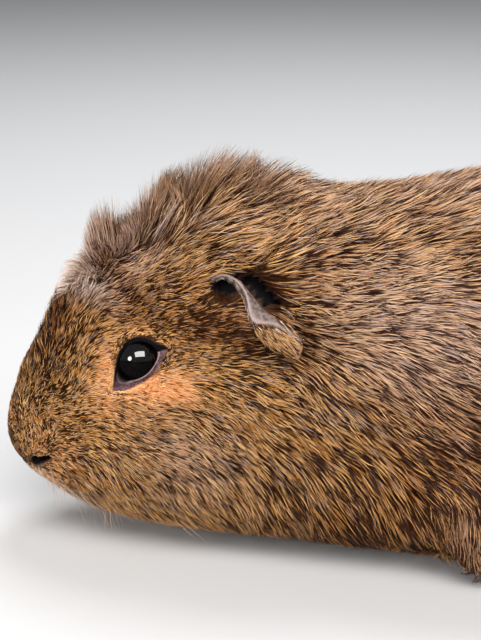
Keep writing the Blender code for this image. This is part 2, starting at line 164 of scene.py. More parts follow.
# Places are in mm: behind the nose, off the middle, above the floor. back, out and up give the
# lie. length, depth and width are a tuft's length, its tip's height over the skin and its width,
# in mm. lift is how steeply it leaves the skin, in degrees, and reach how far the stroke tells.
# rise is the share of the coat's depth that the tips fill, and over 1 they stand out of it.
COMB = [
    Stroke("nose_tip", 1, 0, 27, 0.2, 0.5, 1.0, 2.2, 0.6, 0.24, 40, 5),
    Stroke("nose_side", 6, 8, 27, 0.15, 0.4, 1.0, 2.8, 0.8, 0.25, 38, 6),
    Stroke("bridge", 4, 0, 42, 0.35, 0.25, 1.0, 3.4, 1.1, 0.25, 30, 8),
    Stroke("muzzle_whorl", 11, 13, 32, -0.3, 0.3, 0.7, 3.0, 1.0, 0.25, 40, 4),
    Stroke("whisker_pad", 13, 11, 23, 1.0, 0.3, 0.1, 3.4, 1.1, 0.25, 32, 6),
    Stroke("lip", 9, 8, 16, 0.7, 0.2, -0.7, 2.2, 0.7, 0.19, 30, 5),
    Stroke("chin", 17, 3, 9, 1.0, 0.1, -0.5, 4.0, 1.6, 0.22, 30, 7),
    Stroke("forehead", 10, 0, 57, 0.42, 0.1, 1.0, 6.0, 2.2, 0.26, 28, 7),
    Stroke("forehead_side", 15, 12, 50, 0.6, 0.25, 0.8, 4.8, 1.7, 0.27, 26, 8),
    Stroke("muzzle_side", 16, 14, 35, 0.9, 0.3, 0.4, 3.9, 1.2, 0.26, 28, 7),
    Stroke("eye_front", 27, 19, 46, 0.95, 0.2, 0.2, 3.2, 0.9, 0.24, 22, 5),
    Stroke("eye_above", 34, 19, 62, 0.9, 0.1, 0.5, 4.6, 1.9, 0.26, 22, 7),
    Stroke("eye_below", 37, 24, 44, 1.0, 0.1, -0.05, 3.4, 0.9, 0.24, 22, 5),
    Stroke("eye_behind", 46, 26, 54, 1.0, 0.15, 0.1, 4.4, 1.4, 0.26, 22, 6),
    Stroke("cheek", 36, 26, 32, 1.0, 0.1, -0.12, 5.8, 2.2, 0.30, 24, 10),
    Stroke("cheek_low", 30, 21, 18, 1.0, 0.1, -0.45, 6.0, 2.6, 0.27, 24, 8),
    Stroke("cheek_back", 54, 30, 38, 1.0, 0.1, -0.3, 7.0, 3.2, 0.31, 22, 10),
    Stroke("jaw", 46, 27, 15, 0.8, 0.1, -0.8, 8.0, 3.6, 0.32, 24, 10),
    Stroke("throat", 40, 8, 4, 1.0, 0.0, -0.2, 7.0, 3.0, 0.32, 26, 12),
    Stroke("throat_side", 64, 30, 14, 0.7, 0.1, -1.0, 10.0, 4.2, 0.35, 24, 12),
    Stroke("temple", 46, 22, 70, 1.0, 0.15, 0.35, 7.0, 3.0, 0.31, 26, 9),
    Stroke("ear_front", 52, 27, 62, 1.0, 0.1, 0.0, 5.0, 2.2, 0.28, 22, 6),
    Stroke("tragus", 58, 29, 66, 1.0, 0.1, -0.45, 6.5, 2.4, 0.24, 22, 4.5),
    Stroke("crest_ridge", 18, 0, 66, -0.7, 0.1, 0.5, 9.5, 4.4, 0.23, 42, 6, 1.15),
    Stroke("crest_low", 20, 11, 58, 0.7, 0.1, 0.8, 5.5, 1.8, 0.26, 24, 4, 0.7),
    Stroke("crest_below", 28, 14, 61, 0.9, 0.0, 0.5, 6.0, 2.2, 0.26, 24, 4, 0.7),
    Stroke("crest_bowl", 26.5, 0, 69, 0.0, 0.1, 1.0, 26.0, 5.0, 0.23, 83, 4, 5.5),
    Stroke("crest_near", 31, 7, 67, 0.1, 0.3, 1.0, 13.0, 4.2, 0.24, 64, 4.5, 2.0),
    Stroke("crest_side", 28, 17, 72, 0.9, 0.5, 0.2, 7.0, 3.2, 0.28, 28, 8, 0.7),
    Stroke("fan", 32, 2, 78, 0.1, 0.1, 1.0, 25.0, 11.5, 0.24, 76, 7, 2.9),
    Stroke("fan_side", 38, 10, 80, 0.75, 0.0, 0.85, 13.0, 6.5, 0.27, 32, 6, 1.0),
    Stroke("fan_back", 45, 2, 88, 0.75, 0.1, 1.0, 19.0, 10.5, 0.27, 58, 9, 1.85),
    Stroke("mane", 58, 3, 92, 1.0, 0.05, 0.55, 19.0, 9.5, 0.33, 48, 11, 1.8),
    Stroke("mane_side", 56, 20, 84, 1.0, 0.1, 0.3, 12.0, 5.0, 0.32, 30, 11, 1.05),
    Stroke("nape", 76, 0, 91, 1.0, 0.0, 0.05, 12.0, 4.6, 0.38, 22, 12),
    Stroke("neck", 80, 28, 68, 1.0, 0.05, -0.1, 10.5, 4.4, 0.37, 22, 13),
    Stroke("ear_behind", 76, 34, 54, 0.8, 0.0, -0.5, 9.0, 4.2, 0.35, 22, 8),
    Stroke("shoulder", 102, 40, 46, 1.0, 0.0, -0.4, 11.0, 4.4, 0.38, 22, 18),
    Stroke("chest_side", 92, 37, 16, 0.7, 0.0, -1.0, 11.5, 4.4, 0.38, 24, 14),
    Stroke("chest_under", 95, 10, 1, 1.0, 0.0, 0.0, 7.0, 1.6, 0.42, 18, 16),
    Stroke("back", 125, 0, 94, 1.0, 0.0, 0.0, 12.0, 4.4, 0.40, 20, 26),
    Stroke("side_high", 130, 40, 72, 1.0, 0.0, -0.15, 12.0, 4.4, 0.40, 20, 22),
    Stroke("loin", 170, 0, 95, 1.0, 0.0, -0.1, 12.0, 4.4, 0.40, 20, 26),
    Stroke("flank", 155, 50, 42, 1.0, 0.0, -0.4, 12.0, 4.4, 0.40, 22, 22),
    Stroke("flank_low", 150, 46, 12, 0.8, 0.0, -0.9, 11.0, 3.6, 0.40, 22, 18),
    Stroke("belly", 150, 10, 0, 1.0, 0.0, 0.0, 7.0, 1.4, 0.46, 16, 26),
    Stroke("hip", 205, 30, 78, 1.0, 0.0, -0.5, 12.0, 4.4, 0.40, 22, 20),
    Stroke("rump", 236, 10, 58, 0.6, 0.1, -1.0, 12.0, 4.4, 0.40, 24, 16),
    Stroke("rump_side", 226, 34, 40, 0.7, 0.2, -0.8, 12.0, 4.4, 0.40, 24, 14),
    Stroke("rump_low", 238, 10, 20, 0.5, 0.1, -1.0, 9.0, 3.4, 0.40, 26, 12),
    Stroke("thigh", 196, 51, 34, 0.8, 0.0, -0.8, 10.5, 4.0, 0.38, 22, 16),
    Stroke("thigh_low", 198, 44, 8, 0.6, 0.0, -1.0, 8.0, 2.8, 0.35, 24, 10),
    Stroke("elbow", 105, 38, 10, 0.4, 0.0, -1.0, 12.0, 4.0, 0.35, 40, 6, 1.9),
    Stroke("foreleg", 112, 42, 22, 0.2, 0.0, -1.0, 9.5, 3.2, 0.35, 26, 9, 1.2),
    Stroke("foreleg_low", 112, 34, 7, -0.1, 0.2, -1.0, 9.0, 2.4, 0.32, 34, 7, 1.5),
    Stroke("forefoot", 124, 27, 4, -1.0, 0.0, -0.2, 1.6, 0.4, 0.18, 20, 5),
    Stroke("hindfoot", 182, 36, 5, -1.0, 0.0, -0.2, 2.0, 0.5, 0.20, 20, 7),
]
FINE = 0.85  # all the chart's widths are narrowed by this
# The crest grows from a whorl on each side of the head, where the hair runs out to all sides.
WHORL = np.array((31.5, 8.0, 61.0))
WHORL_REACH = 9.0
CREST_HEART = np.array((33.0, 0.0, 32.0))  # the crest's standing hair fans out as if from here
# How high the crest's hair ends, from the forehead to the nape: behind the nose, and up, in mm.
CREST_EDGE = np.array([(9.5, 59.0), (11.0, 66.0), (12.3, 67.6), (15.6, 69.8), (19.6, 73.0), (20.8, 79.0),
                       (22.0, 83.0), (27.0, 89.0), (33.0, 91.0), (38.0, 92.5), (43.0, 94.5), (50.4, 98.0),
                       (57.0, 100.0), (65.0, 98.0), (76.0, 97.0)])
print("strokes in the chart:", len(COMB))


# %% [markdown]
# ## Helpers for numbers
# Most shapes of this lesson are worked out on tables, so that one line moves every point at once.
# Two helpers are needed again and again: one makes directions one long, and the other is the soft
# step that a Map Range node calls Smoothstep.

# %% Helpers for numbers
SIZES = ("length", "depth", "width", "lift", "rise")
CHART = {field: np.array([getattr(s, field) for s in COMB], float) for field in Stroke._fields[1:]}


def unit(table):
    """Rows of numbers, each made one long."""
    return table / np.maximum(np.linalg.norm(table, axis=-1, keepdims=True), 1e-12)


def smooth(value, start, end):
    """A soft step that is 0 up to start and 1 from end."""
    share = np.clip((value - start) / (end - start), 0, 1)
    return share * share * (3 - 2 * share)


print("half a soft step:", smooth(0.5, 0.0, 1.0))

# %% [markdown]
# ## The place of the eye
# An eye is a ball behind a lemon-shaped opening that lies aslant on the cheek. Its lids could be
# drawn as curve objects, but other pieces need the same lines, such as the fur that must stop at
# the bare rim. So the two rims are closed rows of points, which a helper reads as smooth curves.

# %% The eye's place and the shape of its lids
EYE_RADIUS = 5.4
EYE = np.array((35.2, 20.9, 52.0))
# Two rims run round the lids from the back corner up and over to the front one: the opening over
# the ball, and the edge of the fur. Points are along the lids and up, from the eye's middle, in mm.
INNER = np.array([
    (5.3, -1.0), (5.45, 0.45), (4.95, 1.75), (3.7, 3.25), (1.3, 4.2), (-1.1, 3.85), (-3.3, 2.6), (-4.9, 1.0),
    (-5.4, -0.6), (-5.0, -1.8), (-3.7, -2.5), (-1.6, -3.2), (0.7, -3.5), (2.9, -3.05), (4.6, -2.05)])
OUTER = np.array([
    (7.7, -1.85), (6.4, 0.75), (5.5, 2.95), (3.7, 4.55), (1.1, 5.15), (-1.9, 4.1), (-4.5, 2.25),
    (-6.9, -0.05), (-8.6, -1.95), (-6.6, -3.4), (-3.9, -4.15), (-1.0, -4.7), (1.7, -4.55), (4.1, -3.75),
    (6.2, -2.75)])
LID_MIDDLE = np.array((-0.5, 0.0))


def eye_axes(side):
    """The eye's middle, and its axes: along the lids to the back corner, up, and out."""
    out = unit(np.array((-0.12, side, 0.10)))
    along = np.array((0.77, 0, 0.64))
    along = unit(along - out * (along @ out))
    up = np.cross(out, along) * -side
    return EYE * (1, side, 1), along, up, out


def rim_point(rim, share):
    """Points of a smooth closed rim, for shares from 0 to 1 of the way round."""
    run = np.mod(share, 1.0) * len(rim)
    step = run.astype(int)
    part = (run - step)[:, None]
    a, b, c, d = (rim[(step + k) % len(rim)] for k in (-1, 0, 1, 2))
    bend = (2 * a - 5 * b + 4 * c - d) * part**2 + (3 * b - a - 3 * c + d) * part**3
    return (0.5 * (2 * b + (c - a) * part + bend)).T


def in_eye_view(points, side):
    """Points along, up and out of the eye's axes."""
    middle, along, up, out = eye_axes(side)
    return np.stack([(points - middle) @ axis for axis in (along, up, out)], 1)


FAR_OFF = 9.0  # in mm, and also a share that is surely outside
RIM_TURNS = np.linspace(0, 1, 360, endpoint=False)
RIM_VIEW = np.stack(rim_point(OUTER, RIM_TURNS), 1) - LID_MIDDLE
RIM_ANGLE = np.arctan2(RIM_VIEW[:, 1], RIM_VIEW[:, 0])
RIM_ORDER = np.argsort(RIM_ANGLE)


def rim_share(points, side):
    """How far points are from the lids' middle, with 1 at the outer rim of the bare skin."""
    view = in_eye_view(points, side)
    flat = view[:, :2] - LID_MIDDLE
    rim_far = np.interp(np.arctan2(flat[:, 1], flat[:, 0]), RIM_ANGLE[RIM_ORDER],
                        np.linalg.norm(RIM_VIEW, axis=1)[RIM_ORDER], period=2 * math.pi)
    return np.where(np.abs(view[:, 2]) < FAR_OFF, np.linalg.norm(flat, axis=1) / rim_far, FAR_OFF)


print("eye's opening in mm:", np.ptp(INNER, axis=0))

# %% [markdown]
# ## Reading the chart
# A stroke tells most at its own place and fades with the distance. The chart could be painted as
# textures, but a rule on distances gives skin, tufts and masks the same answer. Close to the lids
# the hair gets shorter, and round the crest's whorls it turns away from them.

# %% Read the chart at any points
STROKE_CORE, STROKE_FALL = 0.15, 2.5  # a stroke's blunt middle, and how fast it fades
WHORL_PULL = 1.6


def lie_of_coat(points):
    """The lie of the coat and its sizes at points, in mm from the nose, the middle and the floor."""
    here = np.column_stack([points[:, 0], np.abs(points[:, 1]), points[:, 2]])
    spots = np.column_stack([CHART["x"], CHART["off"], CHART["z"]])
    apart = ((here[:, None, :] - spots[None]) ** 2).sum(2)
    share = 1.0 / (STROKE_CORE + apart / CHART["reach"] ** 2) ** STROKE_FALL
    share /= share.sum(1, keepdims=True)
    sizes = {field: share @ CHART[field] for field in SIZES}
    sizes["width"] = sizes["width"] * FINE
    out = (share @ CHART["out"]) * np.tanh(points[:, 1] / 3.0)
    lie = np.column_stack([share @ CHART["back"], out, share @ CHART["up"]])
    for side in SIDES.values():
        near_eye = 1 - smooth(rim_share(points, side), 1.0, 1.75)
        for field in ("length", "depth"):
            sizes[field] = sizes[field] * (1 - 0.5 * near_eye)
    ones = np.ones(len(points))
    from_whorl = points - WHORL * np.column_stack([ones, np.tanh(points[:, 1]), ones])
    near = np.exp(-((np.linalg.norm(from_whorl, axis=1) / WHORL_REACH) ** 2))[:, None]
    return unit(unit(lie) * (1 - near) + unit(from_whorl) * near * WHORL_PULL), sizes


for part in ("cheek", "crest_bowl", "back"):
    stroke = next(s for s in COMB if s.name == part)
    _, found = lie_of_coat(np.array([[stroke.x, stroke.off, stroke.z]], float))
    print("length on the", part, "in mm:", round(float(found["length"][0]), 1))


# %% [markdown]
# ## Helpers for operators and points
# By hand one would pick a piece, add a modifier and press Apply. These helpers do the same in that
# order. Others hand over a piece's points as one table in mm from the nose, the middle and the
# floor, and put such a table back.

# %% Helpers for operators and points
def only(*pieces):
    """Selects these pieces alone and makes the first one active."""
    bpy.ops.object.select_all(action="DESELECT")
    for piece in pieces:
        piece.select_set(True)
    bpy.context.view_layer.objects.active = pieces[0]
    return pieces[0]


def apply(piece, kind, **settings):
    """Adds a modifier, sets it and applies it at once."""
    only(piece)
    step = piece.modifiers.new(kind.lower(), kind)
    for name, value in settings.items():
        setattr(step, name, value)
    bpy.ops.object.modifier_apply(modifier=step.name)


def settle(piece):
    """Puts a piece's place and turn into its mesh, so that its object sits at the origin."""
    only(piece)
    bpy.ops.object.transform_apply(location=True, rotation=True, scale=True)
    return piece


def join(first, *others):
    only(first, *others)
    bpy.ops.object.join()
    return first


def points_of(piece, kind="co"):
    """A piece's points, or their normals with kind 'normal', from nose, middle and floor in mm."""
    table = np.empty(len(piece.data.vertices) * 3, np.float32)
    if kind == "normal":
        piece.data.vertex_normals.foreach_get("vector", table)
        return table.reshape(-1, 3).astype(float)
    piece.data.vertices.foreach_get("co", table)
    return table.reshape(-1, 3) / MM - (NOSE_X / MM, 0, 0)


def metres(points):
    return (points + (NOSE_X / MM, 0, 0)) * MM


def set_points(piece, points):
    piece.data.vertices.foreach_set("co", metres(points).astype(np.float32).ravel())
    piece.data.update()


def tree_of(piece):
    """A search tree over a piece's faces, in mm from the nose, the middle and the floor."""
    return BVHTree.FromPolygons(points_of(piece).tolist(), [tuple(f.vertices) for f in piece.data.polygons])


print("meshes so far:", [mesh.name for mesh in bpy.data.meshes])

# %% [markdown]
# ## The skin
# On the animal one skin runs from the nose to the rump, and no cut shows. A boolean union of the
# solids would keep their creases. So they are copied, joined and swollen a little until they
# overlap, short rods carry the legs into the feet, and a voxel remesh welds all of it into one
# surface.

# %% Copy and weld the solids of the body
FLESH = ["nose", "head", "neck", "trunk", "rump"]
LEGS = [f"{limb}_{side}" for limb in ("foreleg", "hindleg") for side in SIDES]
FEET = [f"{limb}_{side}" for limb in ("forefoot", "hindfoot") for side in SIDES]
EARS = [f"ear_{side}" for side in SIDES]
SWELL = 0.3 * MM
BODY_VOXEL = 1.5 * MM
FOOT_VOXEL = 0.62 * MM


def copy_nodes(name, nodes):
    """One free piece from copies of these solids, with their loose triangles merged."""
    only(*[frame["nodes"][n] for n in nodes])
    bpy.ops.object.duplicate()
    copies = list(bpy.context.selected_objects)
    for piece in copies:
        piece.parent = None
        for key in list(piece.keys()):
            del piece[key]
    piece = join(*copies)
    piece.name = name
    bpy.ops.object.mode_set(mode="EDIT")
    bpy.ops.mesh.select_all(action="SELECT")
    bpy.ops.mesh.remove_doubles(threshold=0.01 * MM)
    bpy.ops.mesh.normals_make_consistent(inside=False)
    bpy.ops.object.mode_set(mode="OBJECT")
    piece.data.materials.clear()
    return piece


def add_rod(start, end, thick):
    """A round rod between two places, which carries the skin from a leg into its foot."""
    run = end - start
    bpy.ops.mesh.primitive_cylinder_add(
        vertices=20, radius=thick * MM, depth=run.length, location=(start + end) / 2,
        rotation=run.to_track_quat("Z", "Y").to_euler(),
    )
    return settle(bpy.context.object)


skin = copy_nodes("skin", FLESH + LEGS)
rods = []
for side in SIDES.values():
    rods.append(add_rod(place(134, 28, 4, side), place(127, 32, 24, side), 5.6))
    rods.append(add_rod(place(205, 33.5, 5, side), place(200, 34, 26, side), 8.0))
join(skin, *rods)
apply(skin, "DISPLACE", strength=SWELL, mid_level=0.0)
apply(skin, "REMESH", mode="VOXEL", voxel_size=BODY_VOXEL)
apply(skin, "SMOOTH", factor=0.6, iterations=6)
coat_surface = tree_of(skin)
print("body skin:", len(skin.data.polygons), "faces")

# %% [markdown]
# ## Room for the coat
# The solids end where the coat ends, so the skin has to lie deeper: a little on the face, far more
# on the back. Shrink/Fatten would move all of it alike. Here each point moves in by the depth that
# the chart gives it, in steps with a smoothing after each, so that no fold forms.

# %% Move the skin in by the coat's depth
STEPS = 4  # a deep coat is taken off in a few steps, with a smoothing after each
FLOOR_SKIN = 0.4  # the belly's skin stays this far over the floor, in mm
for _ in range(STEPS):
    table = points_of(skin)
    _, sizes = lie_of_coat(table)
    set_points(skin, table - points_of(skin, "normal") * (sizes["depth"] / STEPS)[:, None])
    apply(skin, "SMOOTH", factor=0.5, iterations=4)
table = points_of(skin)
table[:, 2] = np.maximum(table[:, 2], FLOOR_SKIN)
set_points(skin, table)
print("lowest skin in mm:", round(points_of(skin)[:, 2].min(), 2))


# %% [markdown]
# ## Finer faces at the nose
# A voxel size that suits the body is too coarse for nostrils. Only the faces round the nose are
# subdivided, because a finer remesh everywhere would be heavy and would show nowhere else.

# %% Finer faces at the nose
def refine(piece, wanted, cuts=1):
    """Splits the faces whose points are wanted, a row of true and false for each point."""
    only(piece)
    bpy.ops.object.mode_set(mode="EDIT")
    bpy.ops.mesh.select_mode(type="FACE")
    bpy.ops.mesh.select_all(action="DESELECT")
    bpy.ops.object.mode_set(mode="OBJECT")
    for face in piece.data.polygons:
        face.select = all(wanted[v] for v in face.vertices)
    bpy.ops.object.mode_set(mode="EDIT")
    bpy.ops.mesh.subdivide(number_cuts=cuts, smoothness=0.6)
    bpy.ops.object.mode_set(mode="OBJECT")


table = points_of(skin)
refine(skin, (table[:, 0] < 20) & (table[:, 2] < 34), cuts=2)
apply(skin, "SMOOTH", factor=0.4, iterations=2)
print("with a finer nose:", len(skin.data.polygons), "faces")

# %% [markdown]
# ## Nostrils and lips
# A guinea pig's nostril is a dark comma that slants up and back, over a pale, nearly bare lip. The
# hollows are pressed into the skin point by point, with a smooth wall, because a boolean cut would
# leave a hard edge in a soft nose.

# %% Press the nostrils and the lip
Groove = namedtuple("Groove", "name start end thin thick deep")
# Each groove runs between two places, behind the nose and above the floor, and may widen, in mm.
GROOVES = [
    Groove("nostril", (8.0, 21.0), (11.8, 23.6), 1.3, 0.9, 2.8),
    Groove("mouth", (8.8, 16.4), (17.5, 11.4), 0.35, 0.6, 0.7),
]


def groove_share(points, groove):
    """How far points are from a groove's line, with 1 at its wall, seen from the side."""
    start, end = np.array(groove.start), np.array(groove.end)
    run = end - start
    flat = points[:, [0, 2]]
    along = np.clip((flat - start) @ run / (run @ run), 0, 1)
    wide = groove.thin + (groove.thick - groove.thin) * along
    far = np.linalg.norm(flat - start - along[:, None] * run, axis=1) / wide
    return np.where(np.abs(points[:, 1]) > 2.5, far, FAR_OFF)


for groove in GROOVES:
    table = points_of(skin)
    dent = np.exp(-(groove_share(table, groove) ** 2) * 1.2) * groove.deep
    set_points(skin, table - points_of(skin, "normal") * dent[:, None])
print("pressed:", [groove.name for groove in GROOVES])

# %% [markdown]
# ## The hollows of ear and crest
# Behind the ear's root the head falls into shade, a second hollow lies under the ear's front arch,
# and the crest's hair stands round a small bowl in the brow. They could be sculpted with a brush.
# A smooth dent worked out from the distance does the same, and comes out alike on both sides.

# %% Press the hollows
# Each hollow is an ellipse seen from the side: its place, its half length and half height, in mm,
# and its slant in degrees.
EAR_HOLLOWS = ((63.9, 68.9, 6.8, 2.5, -46), (56.2, 70.0, 3.2, 2.7, -22))
EAR_DEEP = 3.2
BOWL = np.array((28.0, 0.0, 71.0))
BOWL_DEEP, BOWL_REACH = 4.2, 7.0


def ear_hollows(points):
    """Where the ear shades the head: a gap behind its root, and a hollow under its front arch."""
    total = np.zeros(len(points))
    for x, z, long, tall, slant in EAR_HOLLOWS:
        turn = math.radians(slant)
        dx, dz = points[:, 0] - x, points[:, 2] - z
        along = dx * math.cos(turn) + dz * math.sin(turn)
        across = dz * math.cos(turn) - dx * math.sin(turn)
        total = np.maximum(total, 1 - smooth(np.hypot(along / long, across / tall), 0.7, 1.15))
    return total * (np.abs(points[:, 1]) > 15)


table = points_of(skin)
set_points(skin, table - points_of(skin, "normal") * (ear_hollows(table) * EAR_DEEP)[:, None])
table = points_of(skin)
table[:, 2] -= BOWL_DEEP * np.exp(-((table - BOWL) ** 2).sum(1) / BOWL_REACH**2)
set_points(skin, table)
apply(skin, "SMOOTH", factor=0.3, iterations=1)
print("points in the ears' hollows:", int((ear_hollows(table) > 0.5).sum()))

# %% [markdown]
# ## Helpers for bent grids
# Lids and ears are thin sheets with a long and a short way across. A grid has both, so it is bent
# into their shapes, and each of its points keeps how far along and across it lies, for the paint
# that comes later.

# %% Helpers for numbers on points and for bent grids
def add_number(piece, name, values):
    """Keeps one number for each of a piece's points."""
    piece.data.attributes.new(name, "FLOAT", "POINT").data.foreach_set("value", values.astype(np.float32))


def number_of(piece, name):
    values = np.empty(len(piece.data.vertices), np.float32)
    piece.data.attributes[name].data.foreach_get("value", values)
    return values.astype(float)


def bent_grid(name, across, along, rule):
    """A grid whose points are placed by a rule on two shares that run from 0 to 1."""
    bpy.ops.mesh.primitive_grid_add(x_subdivisions=across, y_subdivisions=along, size=2)
    piece = settle(bpy.context.object)
    piece.name = name
    flat = np.empty(len(piece.data.vertices) * 3, np.float32)
    piece.data.vertices.foreach_get("co", flat)
    flat = flat.reshape(-1, 3).astype(float)
    along, across = (flat[:, 0] + 1) / 2, (flat[:, 1] + 1) / 2
    add_number(piece, "grid_along", along)
    add_number(piece, "grid_across", across)
    set_points(piece, rule(along, across))
    return piece


def face_out(piece, way):
    """Turns an open sheet's faces so that they look a given way."""
    if points_of(piece, "normal").mean(0) @ way < 0:
        only(piece)
        bpy.ops.object.mode_set(mode="EDIT")
        bpy.ops.mesh.select_all(action="SELECT")
        bpy.ops.mesh.flip_normals()
        bpy.ops.object.mode_set(mode="OBJECT")


print("sides of the animal:", SIDES)

# %% [markdown]
# ## Eyelids
# The lids are a lemon-shaped ring of bare skin. Its lower front corner reaches towards the nose and
# holds the tear duct, and its edge lies on the eyeball. A grid is bent into that ring, because its
# rows then run round the eye as the folds of a real lid do. Under it the skin is pushed in.

# %% Make the lids
LID_SPREAD = 1.7  # the lid's fur-clad part ends at this many times the bare rim
LID_EDGE = 0.42  # the rounded edge stands this far off the eyeball, in mm
BALL_REACH = 4.75  # the ball is read as a dome out to here, in mm from its axis
TUCKED, SPAN = 0.2, 2.2  # a lid's run goes from -TUCKED, behind its edge, over SPAN to the fur
face_tree = tree_of(skin)


def lid_rule(side):
    middle, along, up, out = eye_axes(side)

    def rule(turn_share, run):
        run = run * SPAN - TUCKED  # under 0 the lid tucks in behind its edge, and past 1 it is furred
        iu, iv = rim_point(INNER, turn_share)
        ou, ov = rim_point(OUTER, turn_share)
        bare = np.clip(run, -TUCKED, 1)
        far = 1 + np.maximum(run - 1, 0) * (LID_SPREAD - 1)
        u = (iu + (ou - iu) * bare - LID_MIDDLE[0]) * far + LID_MIDDLE[0]
        v = (iv + (ov - iv) * bare - LID_MIDDLE[1]) * far + LID_MIDDLE[1]
        ball = np.sqrt(EYE_RADIUS**2 - np.minimum(np.hypot(u, v), BALL_REACH) ** 2)
        fold = 0.12 * np.exp(-(((run - 0.72) / 0.13) ** 2))
        edge = ball + LID_EDGE * smooth(run, -0.02, 0.28) - 0.7 * smooth(-run, 0, 0.2) - fold
        start = middle + np.outer(u, along) + np.outer(v, up) + out * 30
        skin_high = np.full(len(u), 1.0)
        for i, spot in enumerate(start):
            hit = face_tree.ray_cast(Vector(spot), Vector(-out))[0]
            if hit is not None:
                skin_high[i] = (np.array(hit) - middle) @ out
        skin_high -= 0.3 * smooth(run, 1.6, 2.0)
        high = edge + (skin_high - edge) * smooth(run, 0.95, 1.9)
        return middle + np.outer(u, along) + np.outer(v, up) + np.outer(high, out)

    return rule


lids = []
for name, side in SIDES.items():
    lid = bent_grid(f"lid_{name}", 84, 30, lid_rule(side))
    only(lid)
    bpy.ops.object.mode_set(mode="EDIT")
    bpy.ops.mesh.select_all(action="SELECT")
    bpy.ops.mesh.remove_doubles(threshold=0.005 * MM)
    bpy.ops.object.mode_set(mode="OBJECT")
    face_out(lid, eye_axes(side)[3])
    lids.append(lid)
    table = points_of(skin)
    view = in_eye_view(table, side)
    share = rim_share(table, side)
    low = np.minimum(view[:, 2], 0.8)
    drop = (view[:, 2] - low) * (1 - smooth(share, 1.2, 1.5))
    set_points(skin, table - np.outer(drop, eye_axes(side)[3]))
head_tree = tree_of(skin)
print("lid points:", len(lids[0].data.vertices))

# %% [markdown]
# ## Ears
# The ear is a thin petal that grows from the head, turns over and hangs. Its bare back shows as a
# grey hollow behind a pale rolled rim, whose pale line is partly a painted highlight, and the lobe
# below is furred. It could be folded out of a flat petal, but five lines from root to hem say more
# plainly where each part of it ends up.

# %% The lines of the ear
# Each line runs from the ear's front to its lobe: behind the nose, above the floor, and off the
# head, in mm.
EAR_LINES = {
    "root": [(52.8, 72.3, -0.8), (55.3, 73.2, -1), (59.1, 72.1, -1.2), (61.8, 69.0, -1.2), (64.8, 64.6, -1),
             (68.5, 63.1, -0.8), (73.3, 59.5, -0.4)],
    "bend": [(52.6, 72.9, 0.8), (55.2, 74.5, 2.6), (58.8, 73.8, 3.8), (61.3, 71.3, 4.2), (65, 67.2, 4.4),
             (68.6, 65.6, 5.2), (73.4, 61.2, 3.6)],
    "rim": [(52.6, 72.6, 0.6), (55.2, 74.5, 3.4), (58.4, 73.9, 5), (60.7, 71.2, 5.8), (62.4, 65.6, 6.2),
            (67.4, 65.0, 6.4), (73.3, 61.0, 4.6)],
    "fall": [(52.8, 72.4, 0.3), (55.1, 73.8, 2.4), (57.8, 73, 3.6), (60.1, 70.4, 4.6), (61.9, 64.9, 5.4),
             (66.6, 63.0, 6.2), (73, 59.8, 4.8)],
    "hem": [(53, 72.2, 0), (55.1, 73.1, 1), (57.4, 71.9, 1.4), (60, 69.4, 2.4), (61.9, 63.8, 3.8),
            (66.1, 59.1, 4.6), (72.3, 57.1, 4)],
}


print("lines of the ear:", list(EAR_LINES))

# %% [markdown]
# ## Bending the ears
# A grid is laid through the five lines, along each line and from line to line, with the smooth
# curve that also reads the rims of the eye. The lines are counted from the head's own surface, so
# the ear grows out of it with no gap, and Solidify gives the petal its thickness.

# %% Bend the ears
EAR_THICKNESS = 0.7
RAY_FAR = 90  # rays to the skin start this far from the middle, in mm


def curve_through(points, share):
    """Points on a smooth curve through the given ones, for shares from 0 to 1 along it."""
    last = len(points) - 1
    run = np.clip(share, 0, 1) * last
    step = np.minimum(run.astype(int), last - 1)
    part = (run - step)[:, None]
    each = np.arange(len(share))

    def pick(which):
        which = np.clip(which, 0, last)
        return points[which, each] if points.ndim == 3 else points[which]

    a, b, c, d = pick(step - 1), pick(step), pick(step + 1), pick(step + 2)
    bend = (2 * a - 5 * b + 4 * c - d) * part**2 + (3 * b - a - 3 * c + d) * part**3
    return 0.5 * (2 * b + (c - a) * part + bend)


def ear_rule(side):
    lines = []
    for line in EAR_LINES.values():
        spots = []
        for x, z, off in line:
            hit = coat_surface.ray_cast(Vector((x, side * RAY_FAR, z)), Vector((0, -side, 0)))[0]
            spots.append((x, hit.y + side * off, z))
        lines.append(np.array(spots))

    def rule(along, across):
        return curve_through(np.stack([curve_through(line, along) for line in lines]), across)

    return rule


ears = []
for name, side in SIDES.items():
    ear = bent_grid(f"petal_{name}", 44, 26, ear_rule(side))
    face_out(ear, np.array((0, side, 0.5)))
    apply(ear, "SOLIDIFY", thickness=EAR_THICKNESS * MM, offset=-1.0)
    apply(ear, "SMOOTH", factor=0.5, iterations=2)
    ears.append(ear)
print("ear faces:", len(ears[0].data.polygons))

# %% [markdown]
# ## Feet
# A guinea pig has four toes in front and three behind, with nearly bare skin. The feet's solids are
# remeshed more finely than the body, because its voxels would glue the toes together, and then
# sunk a little, since short hair covers them.

# %% Weld the feet
paws = copy_nodes("paws", FEET)
apply(paws, "REMESH", mode="VOXEL", voxel_size=FOOT_VOXEL)
apply(paws, "SMOOTH", factor=0.5, iterations=3)
FOOT_COAT = 0.3
OFF_FLOOR = 0.05  # nothing goes lower than this, in mm
table = points_of(paws)
table -= points_of(paws, "normal") * FOOT_COAT
table[:, 2] = np.maximum(table[:, 2], OFF_FLOOR)
set_points(paws, table)
print("paw faces:", len(paws.data.polygons))

# %% [markdown]
# ## Claws
# Claws are horn, so they stay pieces of their own. A cone would be too straight and too sharp. A
# claw is a small ring that is extruded along the toe and narrowed at each step, and one level of
# subdivision rounds it.

